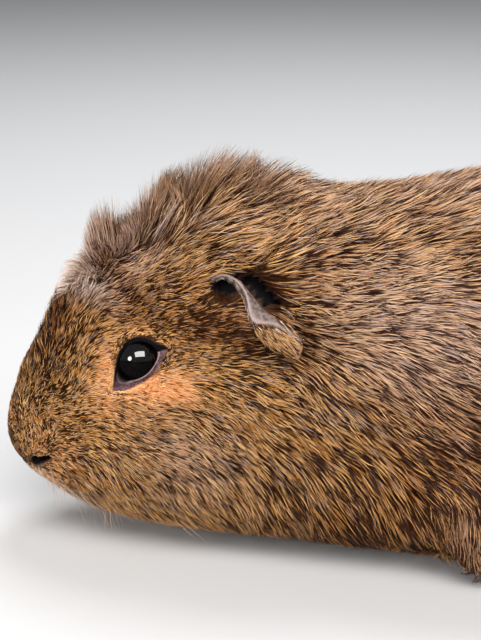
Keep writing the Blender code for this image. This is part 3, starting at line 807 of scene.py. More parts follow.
# %% Claws
Foot = namedtuple("Foot", "front side z front_r toes toe_length toe_r spread turn_out claw")
FOOT_SHAPES = {
    "forefoot": Foot(126, 27.5, 1.8, 4.4, 4, 6.0, 1.5, 40, 5, 3.4),
    "hindfoot": Foot(179, 36.0, 1.8, 5.2, 3, 9.5, 2.1, 26, 7, 5.0),
}
CLAW_R = 0.78
CLAW_POINTS = 10


def claw_path(foot, toe, side):
    """Places and radii of rings along one claw, from inside the toe to the tip."""
    share = toe / (foot.toes - 1) - 0.5
    angle = math.radians(foot.turn_out + foot.spread * share)
    root = foot.side + share * (foot.front_r - foot.toe_r) * 1.6
    reach = foot.front_r + foot.toe_length * (1 - 0.5 * abs(share))
    rings = [(-1.0 * foot.toe_r, 1.1 * foot.toe_r, CLAW_R), (0.0, 1.15 * foot.toe_r, CLAW_R * 0.95),
             (0.35 * foot.claw, 1.1 * foot.toe_r, 0.68), (0.7 * foot.claw, 0.85, 0.48),
             (0.92 * foot.claw, 0.62, 0.26), (foot.claw, 0.5, 0.1)]
    for run, high, thick in rings:
        run += reach
        yield place(foot.front - math.cos(angle) * run, root + math.sin(angle) * run, high, side), thick


claw_pieces = []
for name, foot in FOOT_SHAPES.items():
    for side_name, side in SIDES.items():
        made = []
        for toe in range(foot.toes):
            path = list(claw_path(foot, toe, side))
            way = (path[-1][0] - path[0][0]).to_track_quat("Z", "Y")
            bpy.ops.mesh.primitive_circle_add(
                vertices=CLAW_POINTS, radius=path[0][1] * MM, fill_type="NGON",
                location=path[0][0], rotation=way.to_euler(),
            )
            claw = bpy.context.object
            bpy.ops.object.mode_set(mode="EDIT")
            for (start, wide), (end, narrow) in zip(path, path[1:]):
                bpy.ops.mesh.extrude_region_move(TRANSFORM_OT_translate={"value": end - start})
                bpy.ops.transform.resize(value=(narrow / wide,) * 3)
            bpy.ops.mesh.select_all(action="SELECT")
            bpy.ops.mesh.normals_make_consistent(inside=False)
            bpy.ops.object.mode_set(mode="OBJECT")
            made.append(settle(claw))
        claws = join(*made)
        claws.name = f"claws_{name}_{side_name}"
        apply(claws, "SUBSURF", levels=1, render_levels=1)
        bpy.ops.object.shade_smooth()
        claw_pieces.append(claws)
print("claws:", [piece.name for piece in claw_pieces])

# %% [markdown]
# ## Eyes
# An eye is a wet, glass-like ball, nearly black in daylight. A plain sphere would do for the white
# of an eye, but this one shows its cornea, which bulges in front and catches the light, so the
# points in front are moved out a little.

# %% Eyes
CORNEA = 0.16  # how far the cornea stands out, in mm
eye_pieces = []
for name, side in SIDES.items():
    middle, along, up, out = eye_axes(side)
    bpy.ops.mesh.primitive_uv_sphere_add(segments=72, ring_count=48, radius=EYE_RADIUS * MM)
    eye = bpy.context.object
    eye.name = f"eyeball_{name}"
    eye.rotation_euler = Vector(out).to_track_quat("Z", "Y").to_euler()
    eye.location = metres(middle)
    settle(eye)
    table = points_of(eye)
    front = unit(table - middle) @ out
    set_points(eye, table + np.outer(CORNEA * smooth(front, 0.55, 1.0), out))
    bpy.ops.object.shade_smooth()
    eye_pieces.append(eye)
print("eyes:", [piece.name for piece in eye_pieces])

# %% [markdown]
# ## One skin
# Body, lids, ears and paws are one skin on the animal, so they become one piece. Each point keeps
# the number of the part that it came from, because an ear's hair isn't a cheek's. The room between
# the skin and the coat's surface is measured first, while the body is still alone.

# %% One skin
room = np.array([coat_surface.find_nearest(Vector(spot))[3] for spot in points_of(skin)])
room_of_face = np.array([room[list(face.vertices)].mean() for face in skin.data.polygons])
BODY, LID, EAR, PAW = range(4)
for pieces, part in (([skin], BODY), (lids, LID), (ears, EAR), ([paws], PAW)):
    for piece in pieces:
        tag = piece.data.attributes.new("part", "INT", "POINT")
        tag.data.foreach_set("value", [part] * len(piece.data.vertices))
join(skin, *lids, *ears, paws)
bpy.ops.object.shade_smooth()
part_of_skin = np.empty(len(skin.data.vertices), np.int32)
skin.data.attributes["part"].data.foreach_get("value", part_of_skin)
print("skin triangles:", sum(len(f.vertices) - 2 for f in skin.data.polygons))


# %% [markdown]
# ## Markings
# Each hair of a golden agouti is dark at the root, golden in its middle and often dark at the tip.
# The mix of the three changes from place to place. It could be painted by hand with a brush. The
# marks below name the places instead, and each fades away from its middle, so that skin and coat
# can read the same marks and always agree. Some marks paint light and shade into the colour: the
# russet and olive ones darken hollows and the low body as painted shadow, and the ash ones and one
# pale one lighten the back and the crest's front, partly as painted sheen.

# %% The marks
Mark = namedtuple("Mark", "kind x off z back_reach out_reach up_reach strength")
MARKS = [
    Mark("orange", 34, 23, 47, 7.5, 12, 4.6, 0.85),
    Mark("orange", 41, 25, 46.5, 6.0, 12, 3.6, 0.85),
    Mark("orange", 27, 18, 50, 4.5, 9, 5.0, 0.6),
    Mark("orange", 33, 20, 59, 6.0, 9, 2.5, 0.2),
    Mark("orange", 26, 18, 42, 6.0, 9, 6.0, 0.45),
    Mark("orange", 13, 10, 25, 9, 12, 7.0, 0.5),
    Mark("orange", 46, 24, 69, 5.0, 8, 3.0, 0.2),
    Mark("orange", 55, 28, 63.6, 4.5, 9, 1.3, 0.55),
    Mark("orange", 59.5, 29, 61.6, 3.0, 9, 1.2, 0.55),
    Mark("orange", 34, 18, 8, 18, 18, 6, 0.35),
    # dusk marks: painted shadow round the ear, over the eye, in the brow, in the muzzle's whorl and on the
    # low chest and shoulder, with some of the hair's own russet.
    Mark("dusk", 34, 18, 61.5, 8.0, 8, 3.5, 0.55),
    Mark("dusk", 12, 4, 57, 10.0, 12, 11.0, 1.0),
    Mark("dusk", 28, 14, 66, 12.0, 10, 6.0, 0.6),
    Mark("dusk", 5, 0, 44, 5.0, 6, 8.0, 0.5),
    Mark("dusk", 50, 25, 61, 10.0, 9, 5.0, 1.0),
    Mark("dusk", 58, 30, 58.5, 7.0, 8, 3.4, 1.0),
    Mark("dusk", 55, 27, 69, 3.0, 8, 3.0, 0.9),
    Mark("dusk", 64, 30, 56, 7.0, 8, 3.5, 0.6),
    Mark("dusk", 70, 26, 74, 6.0, 12, 4.0, 0.4),
    Mark("dusk", 15.6, 17.2, 32.1, 1.7, 4, 1.3, 1.0),
    Mark("dusk", 46, 22, 68, 7.0, 9, 4.0, 0.4),
    Mark("dusk", 85, 36, 8, 34, 20, 20, 0.85),
    Mark("dusk", 104, 40, 38, 18, 20, 16, 0.65),
    # ashy marks: greyish hair, and painted sheen that lightens the crest's front, the back, the neck and the
    # shoulder.
    Mark("ashy", 18, 6, 65, 6.0, 8, 2.8, 1.0),
    Mark("ashy", 25, 8, 63.5, 6.5, 8, 3.0, 1.0),
    Mark("ashy", 32, 6, 70, 8.0, 10, 6.0, 0.8),
    Mark("ashy", 36, 4, 80, 9.0, 12, 6.0, 0.25),
    Mark("ashy", 125, 0, 94, 90, 34, 16, 0.6),
    Mark("ashy", 56, 4, 92, 20, 20, 10, 0.5),
    Mark("ashy", 105, 40, 62, 26, 16, 16, 0.65),
    Mark("ashy", 84, 28, 68, 18, 14, 14, 0.45),
    Mark("ashy", 112, 42, 16, 9, 12, 16, 0.5),
    Mark("ashy", 44, 28, 30, 12, 12, 10, 0.4),
    # olive_and_shadow marks: the olive hair of the ear's lobe and the nose, and painted shadow that darkens
    # the low chest, flank and rump.
    Mark("olive_and_shadow", 34, 20, 5, 30, 30, 9.0, 0.35),
    Mark("olive_and_shadow", 90, 38, 2, 40, 30, 24.0, 0.9),
    Mark("olive_and_shadow", 190, 38, 2, 60, 30, 20.0, 0.8),
    Mark("olive_and_shadow", 68, 32, 58, 5.5, 8, 5.0, 0.8),
    Mark("olive_and_shadow", 7, 7, 24, 6.0, 6, 5.0, 0.5),
    # The first pale mark also paints light: it lightens the hair that lies forward on the crest's front,
    # against the shade of the standing hair round it.
    Mark("pale", 19, 7, 64.4, 7.0, 8, 2.4, 1.0),
    Mark("pale", 38, 4, 83, 9.0, 12, 6.0, 0.22),
    Mark("pale", 8.4, 5, 17.8, 3.0, 6, 3.0, 1.0),
    Mark("pale", 12.2, 7, 15.2, 3.6, 7, 2.8, 1.0),
    Mark("pale", 17.0, 9, 13.0, 4.2, 8, 2.4, 0.8),
    Mark("pale", 150, 0, 0, 70, 26, 7, 0.7),
]
KINDS = ("orange", "dusk", "ashy", "olive_and_shadow", "pale")


def markings(points):
    """The strength of each kind of mark at points, each from 0 to 1."""
    masks = {kind: np.zeros(len(points)) for kind in KINDS}
    for mark in MARKS:
        far = ((points[:, 0] - mark.x) / mark.back_reach) ** 2
        far += ((np.abs(points[:, 1]) - mark.off) / mark.out_reach) ** 2
        far += ((points[:, 2] - mark.z) / mark.up_reach) ** 2
        masks[mark.kind] = 1 - (1 - masks[mark.kind]) * (1 - mark.strength * np.exp(-far))
    return masks


print("marks:", {kind: sum(mark.kind == kind for mark in MARKS) for kind in KINDS})

# %% [markdown]
# ## Bare skin and dark edges
# Lids, ears, nostrils and feet are nearly bare, and their edges are dark. The black masks also
# paint shadow on the upper lid and on the ear by its root and under its rim, and a pale line paints
# a highlight on the ear's rim and the lid's wet edge. A vertex brush could paint that. Here the
# masks are worked out from how far a point lies across a lid or an ear, because those edges then
# follow the folds exactly. The skin keeps them as numbers on its points.

# %% Bare skin and dark edges of lids and ears
skin_points = points_of(skin)
across, along = number_of(skin, "grid_across"), number_of(skin, "grid_along")
on_body, on_lid, on_ear, on_paw = (part_of_skin == part for part in (BODY, LID, EAR, PAW))
# On a lid, across runs from the wet edge outwards, and along round from the back corner.
run = across * SPAN - TUCKED
upper = (1 - smooth(along, 0.44, 0.56)) + smooth(along, 0.985, 1.0)
front = smooth(along, 0.40, 0.50) * (1 - smooth(along, 0.58, 0.70))
bare = on_lid * (1 - smooth(run, 0.98, 1.12))
# The upper lid's bare skin is black all over: its dark skin, and painted shadow under the brow.
black_and_shadow = on_lid * np.maximum(upper * (1 - smooth(run, 1.0, 1.12)), 1 - smooth(run, 0.06, 0.16))
black_and_shadow = np.maximum(black_and_shadow, on_lid * front * 0.85 * (1 - smooth(run, 0.15, 0.6)))
# On an ear, across runs from the root over the rim to the hem, and along from the front to the lobe.
inner = smooth(along, 0.72, 0.80) * (1 - smooth(across, 0.34, 0.40))
lobe = smooth(along, 0.64, 0.72) * np.maximum(smooth(across, 0.56, 0.62), inner)
bare = np.maximum(bare, on_ear * (1 - lobe))
# Painted shadow: the ear's skin by its root and under its rolled rim is made black.
black_and_shadow = np.maximum(black_and_shadow, on_ear * 0.9 * (1 - smooth(across, 0.10, 0.24)))
black_and_shadow = np.maximum(black_and_shadow, on_ear * 0.8 * smooth(across, 0.66, 0.86) * (1 - lobe))
# Painted highlight: a pale line on the ear's rim, partly its own pale skin, and on the lower lid's wet edge.
pale_rim_and_highlight = on_ear * np.exp(-(((across - 0.5) / 0.05) ** 2)) * (1 - 0.35 * smooth(along, 0.60, 0.8))
wet_edge_highlight = on_lid * (1 - upper) * np.exp(-(((run - 0.26) / 0.09) ** 2))
print("bare points on lids and ears:", int((bare > 0.5).sum()))

# %% [markdown]
# ## Bare skin of nose, mouth and feet
# The nostrils, the line of the mouth and the shaded hollows by the ears are painted black, which
# stands in for the shadow inside them, and the feet shine through their thin hair. Their masks join
# the ones above by taking the greater of the two, so that no place is counted twice.

# %% Bare skin and dark edges of nose, mouth and feet
nostril_share, mouth_share = (groove_share(skin_points, groove) for groove in GROOVES)
# Painted shadow: black in the nostrils, the mouth's line and the ears' hollows.
black_and_shadow = np.maximum(black_and_shadow, (1 - smooth(nostril_share, 0.85, 1.15)) * on_body)
black_and_shadow = np.maximum(black_and_shadow, 0.8 * (1 - smooth(mouth_share, 0.7, 1.1)) * on_body)
bare = np.maximum(bare, (1 - smooth(nostril_share, 1.0, 1.3)) * on_body)
bare = np.maximum(bare, on_paw * 0.45)
hollow = ear_hollows(skin_points) * on_body
black_and_shadow = np.maximum(black_and_shadow, np.minimum(hollow * 4, 1))
bare = np.maximum(bare, hollow)
hairless = np.minimum(bare * 1.5, 1)
add_number(skin, "bare", bare)
add_number(skin, "black_and_shadow", black_and_shadow)
add_number(skin, "ear", on_ear * 1.0)
add_number(skin, "pale_rim_and_highlight", np.maximum(pale_rim_and_highlight, wet_edge_highlight * 0.8))
for kind, values in markings(skin_points).items():
    add_number(skin, kind, values)
print("bare points:", int((bare > 0.5).sum()), "dark points:", int((black_and_shadow > 0.5).sum()))

# %% [markdown]
# ## The coat
# The coat is made of tufts: thin, tapering blades that leave the skin at a low angle and bend over
# to lie along it. Hair objects would be quicker to comb, but they aren't solid mesh, so the tufts
# are joined meshes made from arrays. First come their roots, strewn by chance over each triangle,
# more where the hair is short or stands up, because there it covers less.

# %% Scatter the roots
def soft_wave(points, size, seed):
    """A soft wave between about -1 and 1 that turns over a given size in mm."""
    draw = np.random.default_rng(seed)
    total = np.zeros(len(points))
    waves = 7
    for _ in range(waves):
        way = unit(draw.normal(size=3)) * 2 * math.pi / (size * draw.uniform(0.7, 1.6))
        total += np.sin(points @ way + draw.uniform(0, 2 * math.pi))
    return total / math.sqrt(waves)


def scatter(piece, wanted, layers, bald, draw):
    """Roots strewn over the wanted faces, with their normals, and fewer where bald is near 1."""
    mesh = piece.data
    mesh.calc_loop_triangles()
    corners = np.empty(len(mesh.loop_triangles) * 3, np.int32)
    mesh.loop_triangles.foreach_get("vertices", corners)
    corners = corners.reshape(-1, 3)
    corners = corners[wanted[corners].all(1)]
    spots, ways = points_of(piece), points_of(piece, "normal")
    a, b, c = (spots[corners[:, i]] for i in range(3))
    area = np.linalg.norm(np.cross(b - a, c - a), axis=1) / 2
    middle = (a + b + c) / 3
    _, sizes = lie_of_coat(middle)
    count = area * layers(middle) * np.maximum(sizes["rise"], 1) ** 1.3
    count /= sizes["length"] * sizes["width"] * 0.5
    which = np.repeat(np.arange(len(corners)), draw.poisson(count))
    mix = draw.dirichlet((1, 1, 1), len(which))
    roots = sum(mix[:, i, None] * spots[corners[which, i]] for i in range(3))
    normal = unit(sum(mix[:, i, None] * ways[corners[which, i]] for i in range(3)))
    bald_here = sum(mix[:, i] * bald[corners[which, i]] for i in range(3))
    keep = draw.random(len(which)) > bald_here
    return roots[keep], normal[keep]


print("a wave's range:", np.round(np.ptp(soft_wave(skin_points[:1000], 14.0, 5)), 1))

# %% [markdown]
# ## Bending the tufts
# A hair leaves its root at an angle, bends over and lies along the body, and neighbours cling
# together in locks. A cloth or hair simulation would take far longer. Here each tuft is a curve of
# three points: the root, a knee in the air, and a tip that is laid over the nearest skin. The
# crest's hair stands instead, and fans out from one point deep in the head.

# %% Helpers for tufts
Tufts = namedtuple("Tufts", "root knee tip side width shade kind")
LOCK = 6  # tufts to a lock
GATHER = 0.42  # how far the tips of a lock draw together
OWN = 0.45  # how many tufts keep a colour of their own in a lock
DARK_LOW = 0.22  # the darkest tufts end this much lower than the middle ones
WAVES = ((14.0, 5, 7), (4.0, 6, 5))  # the lie sways: a wave's size in mm, its seed, its degrees
ROLL = 32  # how far blades roll about their own length, in degrees
LEAST_HIGH = 0.15  # no tip lies lower than this share of its room
STANDING = (1.3, 2.6)  # hair whose rise is over the first begins to stand, and over the second stands
FAN_STRAY = 0.07  # how far the standing hairs stray from the fan, as a share of their length
EDGE_SPRAY = 1.1  # the crest's tips end this far under its edge, on average, in mm
NO_EDGE = 200  # in front of the crest and behind it the hair's height is free, in mm
BROW_X, BROW_Z = 10.3, 62.0  # over this height no hair comes further forward, in mm


def locks_of(roots):
    """The root that leads each lock, and the number of every root's lock."""
    leads = np.arange(0, len(roots), LOCK)
    finder = KDTree(len(leads))
    for k, lead in enumerate(leads):
        finder.insert(Vector(roots[lead]), k)
    finder.balance()
    return leads, np.array([finder.find(Vector(spot))[1] for spot in roots])


def stand_up(roots, knee, tip, length, rise, draw):
    """Fans out the hair that rises high, and trims all tips to the crest's edge."""
    stand = smooth(rise, *STANDING)[:, None]
    ray = unit(unit(roots - CREST_HEART) + draw.normal(0, FAN_STRAY, roots.shape)) * length[:, None]
    knee = knee + (roots + ray * 0.5 - knee) * stand
    tip = tip + (roots + ray - tip) * stand
    edge = np.interp(tip[:, 0], *CREST_EDGE.T, left=NO_EDGE, right=NO_EDGE)
    tip[:, 2] = np.minimum(tip[:, 2], edge - draw.exponential(EDGE_SPRAY, len(tip)))
    return knee, tip


def on_curve(tufts, run):
    """The tufts' places at a share of the way from root to tip."""
    return tufts.root * (1 - run) ** 2 + tufts.knee * 2 * run * (1 - run) + tufts.tip * run**2


def chosen(tufts, which):
    """Some of the tufts, picked by a row of true and false."""
    return Tufts(*(part[which] for part in tufts))


def keep_clear(tufts):
    """Leaves out tufts that would cross an eye, a nostril or an ear's hollow, or jut over the brow."""
    covered = np.zeros(len(tufts.root), bool)
    for run in (0.4, 0.7, 1.0):
        spot = on_curve(tufts, run)
        for side in SIDES.values():
            covered |= rim_share(spot, side) < 1.0
        covered |= groove_share(spot, GROOVES[0]) < 0.95
        covered |= ear_hollows(spot) > 0.6
        covered |= (spot[:, 0] < BROW_X) & (spot[:, 2] > BROW_Z)
    return chosen(tufts, ~covered)


print("tufts to a lock:", LOCK)

# %% [markdown]
# ## Laying the tufts
# How long a hair is, how steeply it leaves the skin and where its tip comes to rest all vary a
# little from hair to hair, as on the animal. Even steps would look like a brush. The chance is
# seeded, so the coat is the same each time.

# %% Lay the tufts
def lay(roots, normal, lie, sizes, tree, draw, rooms=None, stray=9.0):
    """The curves of tufts from their roots back over the surface of a tree.

    rooms is the coat's room at each of the tree's faces, where it is known. stray is how far
    single tufts turn away from the lie, in degrees.
    """
    count = len(roots)
    leads, lock = locks_of(roots)
    lead = leads[lock]
    is_own = draw.random((2, count)) < OWN
    own, shared = draw.random((2, count)), draw.random((2, len(leads)))[:, lock]
    shade, kind = np.where(is_own, own, shared)
    flat = unit(lie - normal * (lie * normal).sum(1, keepdims=True) + 1e-6)
    cross = np.cross(flat, normal)
    sway = sum(soft_wave(roots, size, seed) * turn for size, seed, turn in WAVES)
    swing = np.radians(sway + draw.normal(0, 1, count) * stray)
    flat = flat * np.cos(swing)[:, None] + cross * np.sin(swing)[:, None]
    length = sizes["length"] * draw.uniform(0.72, 1.15, count)
    lift = np.radians(sizes["lift"] * draw.uniform(0.7, 1.3, count))
    share = (1 - 0.5 * draw.random(count) ** 1.6) * (1 + 0.12 * soft_wave(roots, 7.0, 8))
    share = np.maximum(share + DARK_LOW * (kind - 0.5), LEAST_HIGH) * sizes["rise"]
    high = sizes["depth"] * share
    leave = flat * np.cos(lift)[:, None] + normal * np.sin(lift)[:, None]
    knee = roots + leave * (length * 0.5)[:, None]
    run = np.sqrt(np.maximum(length**2 - high**2, (0.3 * length) ** 2))
    aim = roots + flat * np.minimum(run, length * np.cos(lift))[:, None]
    tip = np.empty_like(aim)
    for i, spot in enumerate(aim):
        near, way, face, _ = tree.find_nearest(Vector(spot))
        rise = high[i] if rooms is None else min(max(rooms[face], 0.3) * share[i], length[i])
        tip[i] = np.array(near) + np.array(way) * rise
    close = np.linalg.norm(roots - roots[lead], axis=1) < sizes["length"] * 0.5
    gather = GATHER / np.maximum(sizes["rise"], 1) ** 1.5
    tip += (tip[lead] - tip) * (gather * draw.uniform(0.3, 1.4, count) * close)[:, None]
    if rooms is not None:
        knee, tip = stand_up(roots, knee, tip, length, sizes["rise"], draw)
    roll = np.radians(draw.normal(0, ROLL, count))[:, None]
    side = np.cross(unit(tip - roots), normal)
    side = unit(side) * np.cos(roll) + normal * np.sin(roll)
    width = sizes["width"] * draw.uniform(0.7, 1.3, count)
    return keep_clear(Tufts(roots, knee, tip, side, width, shade, kind))


print("what is kept of a tuft:", Tufts._fields)

# %% [markdown]
# ## Building the blades
# A tuft is a blade that starts wide, bends once or twice and ends in a point. Geometry Nodes could
# set a blade on every root, but its instances would have to be made real first. Tables fill the
# joined mesh at once, with every corner's place on the coat's map, and the numbers of each blade
# for the material.

# %% Build the blades
# A blade's rows, each with its share of the way to the tip and of the full width.
LONG_BLADE = ((0.0, 0.75), (0.38, 1.0), (0.74, 0.62))
SHORT_BLADE = ((0.0, 0.85), (0.52, 0.9))
PATCH = 0.003  # a tuft's patch on the coat's map is this far across


def blades(name, tufts, spot, shape):
    """One joined piece of blades. spot gives each root's place on the unwrapped skin, from 0 to 1."""
    count = len(tufts.root)
    rows = len(shape) * 2 + 1
    points = np.empty((count, rows, 3))
    along = np.empty((count, rows))
    patch = np.empty((count, rows, 2))
    for k, (run, wide) in enumerate(shape):
        middle = on_curve(tufts, run)
        half = tufts.side * (tufts.width * wide / 2)[:, None]
        for which, sign in enumerate((-1, 1)):
            points[:, 2 * k + which] = middle + half * sign
            along[:, 2 * k + which] = run
            patch[:, 2 * k + which] = (sign * wide / 2, run - 0.5)
    points[:, -1], along[:, -1], patch[:, -1] = tufts.tip, 1, (0, 0.5)
    points[..., 2] = np.maximum(points[..., 2], OFF_FLOOR)
    quads = [2 * k + c for k in range(len(shape) - 1) for c in (0, 1, 3, 2)]
    corner = np.array(quads + [rows - 3, rows - 2, rows - 1])
    first = np.arange(len(shape)) * 4
    mesh = bpy.data.meshes.new(name)
    mesh.vertices.add(count * rows)
    mesh.loops.add(count * len(corner))
    mesh.polygons.add(count * len(first))
    corners = (np.arange(count)[:, None] * rows + corner).ravel()
    mesh.vertices.foreach_set("co", metres(points.reshape(-1, 3)).astype(np.float32).ravel())
    mesh.loops.foreach_set("vertex_index", corners.astype(np.int32))
    starts = (np.arange(count)[:, None] * len(corner) + first).ravel()
    mesh.polygons.foreach_set("loop_start", starts.astype(np.int32))
    mesh.polygons.foreach_set("use_smooth", np.ones(len(starts), bool))
    mesh.update(calc_edges=True)
    place_on_map = spot[:, None, :] * (1 - 2 * PATCH) + PATCH + patch * PATCH
    on_corners = place_on_map.reshape(-1, 2)[corners]
    mesh.uv_layers.new(name="OFBake").data.foreach_set("uv", on_corners.astype(np.float32).ravel())
    piece = bpy.data.objects.new(name, mesh)
    bpy.context.scene.collection.objects.link(piece)
    add_number(piece, "along", along.ravel())
    add_number(piece, "shade", np.repeat(tufts.shade, rows))
    add_number(piece, "kind", np.repeat(tufts.kind, rows))
    add_number(piece, "long", np.repeat(np.linalg.norm(tufts.tip - tufts.root, axis=1), rows))
    for mark, values in markings(tufts.root).items():
        add_number(piece, mark, np.repeat(values, rows))
    return piece


print("triangles in a blade:", 2 * len(LONG_BLADE) - 1, "or", 2 * len(SHORT_BLADE) - 1)

# %% [markdown]
# ## A map for the coat
# Each tuft gets a small patch of its own on a map, ready for its finish to be baked. Smart UV
# Project would scatter the blades. Here each patch lies where the tuft's root lies on an unwrap of
# the skin: as on a globe's map round the head and the rump, and as on a label round the body. Half
# of each place comes from the order of the roots, which spreads them over the whole map.

# %% Unwrap the skin under the coat
HEAD_MIDDLE = np.array((46.0, 0, 46.0))
BODY_AXIS = 44.0
RUMP_MIDDLE = np.array((190.0, 0, 46.0))


def fill(values):
    """Shares from 0 to 1 that spread the values evenly, in their own order."""
    order = np.argsort(np.argsort(values, kind="stable"), kind="stable")
    spread = order / max(len(values) - 1, 1)
    span = (values - values.min()) / max(np.ptp(values), 1e-9)
    return 0.5 * spread + 0.5 * span


def unwrap_round(roots, pole=None):
    """Unwraps roots like a map of the globe round a pole, or like a label round the body's axis."""
    if pole is None:
        turn = np.arctan2(roots[:, 1], roots[:, 2] - BODY_AXIS)
        return np.column_stack([fill(roots[:, 0]), fill(turn)])
    middle, way = pole
    ray = unit(roots - middle)
    fall = 1 - ray[:, 0] * way
    return np.column_stack([fill(fall), fill(np.arctan2(ray[:, 1], ray[:, 2]))])


print("poles of the map, in mm behind the nose:", HEAD_MIDDLE[0], RUMP_MIDDLE[0])

# %% [markdown]
# ## The coat of head and body
# One call grows all the hair of head and body, because hair that crosses from one piece into the
# next must not show a line. The face gets a few more layers, its very front fewer, since there the
# short hair lies flat and the skin's own finish shows it, and the belly gets few, since it is
# hidden.

# %% Grow the coat of head and body
LAYERS = 5.8  # how many tufts lie over each other at any place
UNDER_SHARE = 0.3  # the belly's share of them
UNDER_LID = 1.45  # inside this share of an eye's rim the lid has the hair, not the skin below it
draw = np.random.default_rng(7)


def layers_at(points):
    head = 1 + 0.25 * (1 - smooth(points[:, 0], 50, 70)) - 0.55 * (1 - smooth(points[:, 0], 18, 28))
    return LAYERS * head * np.where(points[:, 2] < 3, UNDER_SHARE, 1.0)


furred = np.isin(part_of_skin, (BODY, LID))
for side in SIDES.values():
    inside = rim_share(skin_points, side) < UNDER_LID
    furred &= ~(inside & (part_of_skin == BODY))
roots, normal = scatter(skin, furred, layers_at, hairless, draw)
lie, sizes = lie_of_coat(roots)
stray = 26 - 17 * smooth(roots[:, 0], 9, 18)  # the nose's hair strays most, in degrees
body_tufts = lay(roots, normal, lie, sizes, head_tree, draw, room_of_face, stray)
print("tufts on head and body:", len(body_tufts.root))

# %% [markdown]
# ## Parting the coat
# The coat is parted by plain cuts across the body and along its middle, so that no piece gets too
# heavy to handle. A hair belongs to the piece that its root lies in, so the cuts don't show. From
# the face to the shoulder a blade has one row more, since that hair bends most and is seen closest.

# %% Part the coat into pieces
POLES = {"head": (HEAD_MIDDLE, -1), "rump": (RUMP_MIDDLE, 1)}
Region = namedtuple("Region", "name start end pole shape")
REGIONS = [
    Region("muzzle", -9, 22, "head", SHORT_BLADE),
    Region("face", 22, 42, "head", LONG_BLADE),
    Region("crest", 42, 62, "head", LONG_BLADE),
    Region("neck", 62, 92, None, LONG_BLADE),
    Region("shoulder", 92, 130, None, LONG_BLADE),
    Region("flank", 130, 180, None, SHORT_BLADE),
    Region("rump", 180, 260, "rump", SHORT_BLADE),
]
coat_pieces = []


def add_coat(name, tufts, pole, shape):
    """Builds a piece of the coat, adds it to the list and tells its size."""
    spot = unwrap_round(tufts.root, POLES.get(pole))
    piece = blades(name, tufts, spot, shape)
    coat_pieces.append(piece)
    print(name, "tufts:", len(tufts.root), "triangles:", len(tufts.root) * (2 * len(shape) - 1))
    return piece


for region in REGIONS:
    place_x, place_y = body_tufts.root[:, 0], body_tufts.root[:, 1]
    inside = (place_x >= region.start) & (place_x < region.end)
    for side_name, half in (("left", place_y < 0), ("right", place_y >= 0)):
        tufts = chosen(body_tufts, inside & half)
        add_coat(f"coat_{region.name}_{side_name}", tufts, region.pole, region.shape)

# %% [markdown]
# ## Short hair of ears and feet
# The lobe of the ear is furred, its bare part carries a thin pale fuzz, and the feet have a sleek
# cover of very short hair. All three have one length and one lie, so they need no chart, and grow
# straight on the joined skin.

# %% Grow the short hair of ears and feet
EAR_HAIR = {"length": 3.4, "depth": 0.7, "width": 0.22, "lift": 16, "rise": 1.0}
EAR_FUZZ = {"length": 1.5, "depth": 0.4, "width": 0.10, "lift": 22, "rise": 1.0}
FOOT_HAIR = {"length": 1.5, "depth": 0.35, "width": 0.16, "lift": 16, "rise": 1.0}
DOWN_EAR = (0.75, 0.2, -0.75)  # the way that the ear's hair lies: back, out and up
whole_skin = tree_of(skin)


def paint_all(piece, **values):
    """Gives all of a piece's points the same numbers."""
    for name, value in values.items():
        same = np.full(len(piece.data.vertices), value, np.float32)
        piece.data.attributes[name].data.foreach_set("value", same)


def off_head(spots, ways):
    """Where the skin faces away from the body's middle."""
    return ways[:, 1] * spots[:, 1] > 0


def over_sole(spots, ways):
    """Where the skin faces up and lies above the sole."""
    return (ways[:, 2] > 0.1) & (spots[:, 2] > 1.5)


def short_hair(name, part, facing, way, fixed, layers, bald=hairless):
    """Short hair of one size and lie over a part of the skin, where it faces the right way."""
    wanted = part_of_skin == part
    spots, ways = scatter(skin, wanted, lambda points: np.full(len(points), layers), bald, draw)
    keep = facing(spots, ways)
    spots, ways = spots[keep], ways[keep]
    side = np.sign(spots[:, 1])
    lies = np.column_stack([np.full(len(spots), way[0]), way[1] * side, np.full(len(spots), way[2])])
    each = {key: np.full(len(spots), value) for key, value in fixed.items()}
    return add_coat(name, lay(spots, ways, lies, each, whole_skin, draw), None, SHORT_BLADE)


short_hair("coat_ears", EAR, off_head, DOWN_EAR, EAR_HAIR, 24.0)
fuzz = short_hair("coat_ear_fuzz", EAR, off_head, DOWN_EAR, EAR_FUZZ, 2.2, np.where(on_ear, 0, hairless))
paint_all(fuzz, kind=1.0, shade=0.3, ashy=1.0)
short_hair("coat_feet", PAW, over_sole, (-1.0, 0.1, -0.2), FOOT_HAIR, 2.0)

# %% [markdown]
# ## Whiskers and other long hairs
# Long hairs grow singly and bend a little under their own weight. A simulation could bend them,
# but a guinea pig's are stiff and short enough for a curve that sags by a given height. Chin, jaw
# and elbow have fringes of them, which break the smooth line of the coat.

# %% Grow whiskers and the long hairs of chin, jaw and elbow
Strands = namedtuple("Strands", "name count x z off back out up length width sag pale dark")
# Each row strews strands over a patch of both sides, seen from the side, or from below if it gives
# off instead of z, in mm.
STRANDS = [
    Strands("whiskers", 14, (9, 17), (19, 29), None, 1.0, 0.45, -0.12, (15, 24), 0.11, 3.5, 0.3, 0.15),
    Strands("chin_hairs", 44, (10, 28), None, (2, 12), 0.25, 0.15, -1.0, (7, 11), 0.13, -0.8, 0.55, 0.0),
    Strands("elbow_hairs", 260, (105, 116), (5, 16), None, 0.5, 0.10, -1.0, (4, 8), 0.26, 0.5, 0.0, 0.6),
    Strands("jaw_hairs", 26, (14, 44), (9, 26), None, 1.0, 0.22, -0.7, (9, 14), 0.16, 0.8, 0.45, 0.0),
]


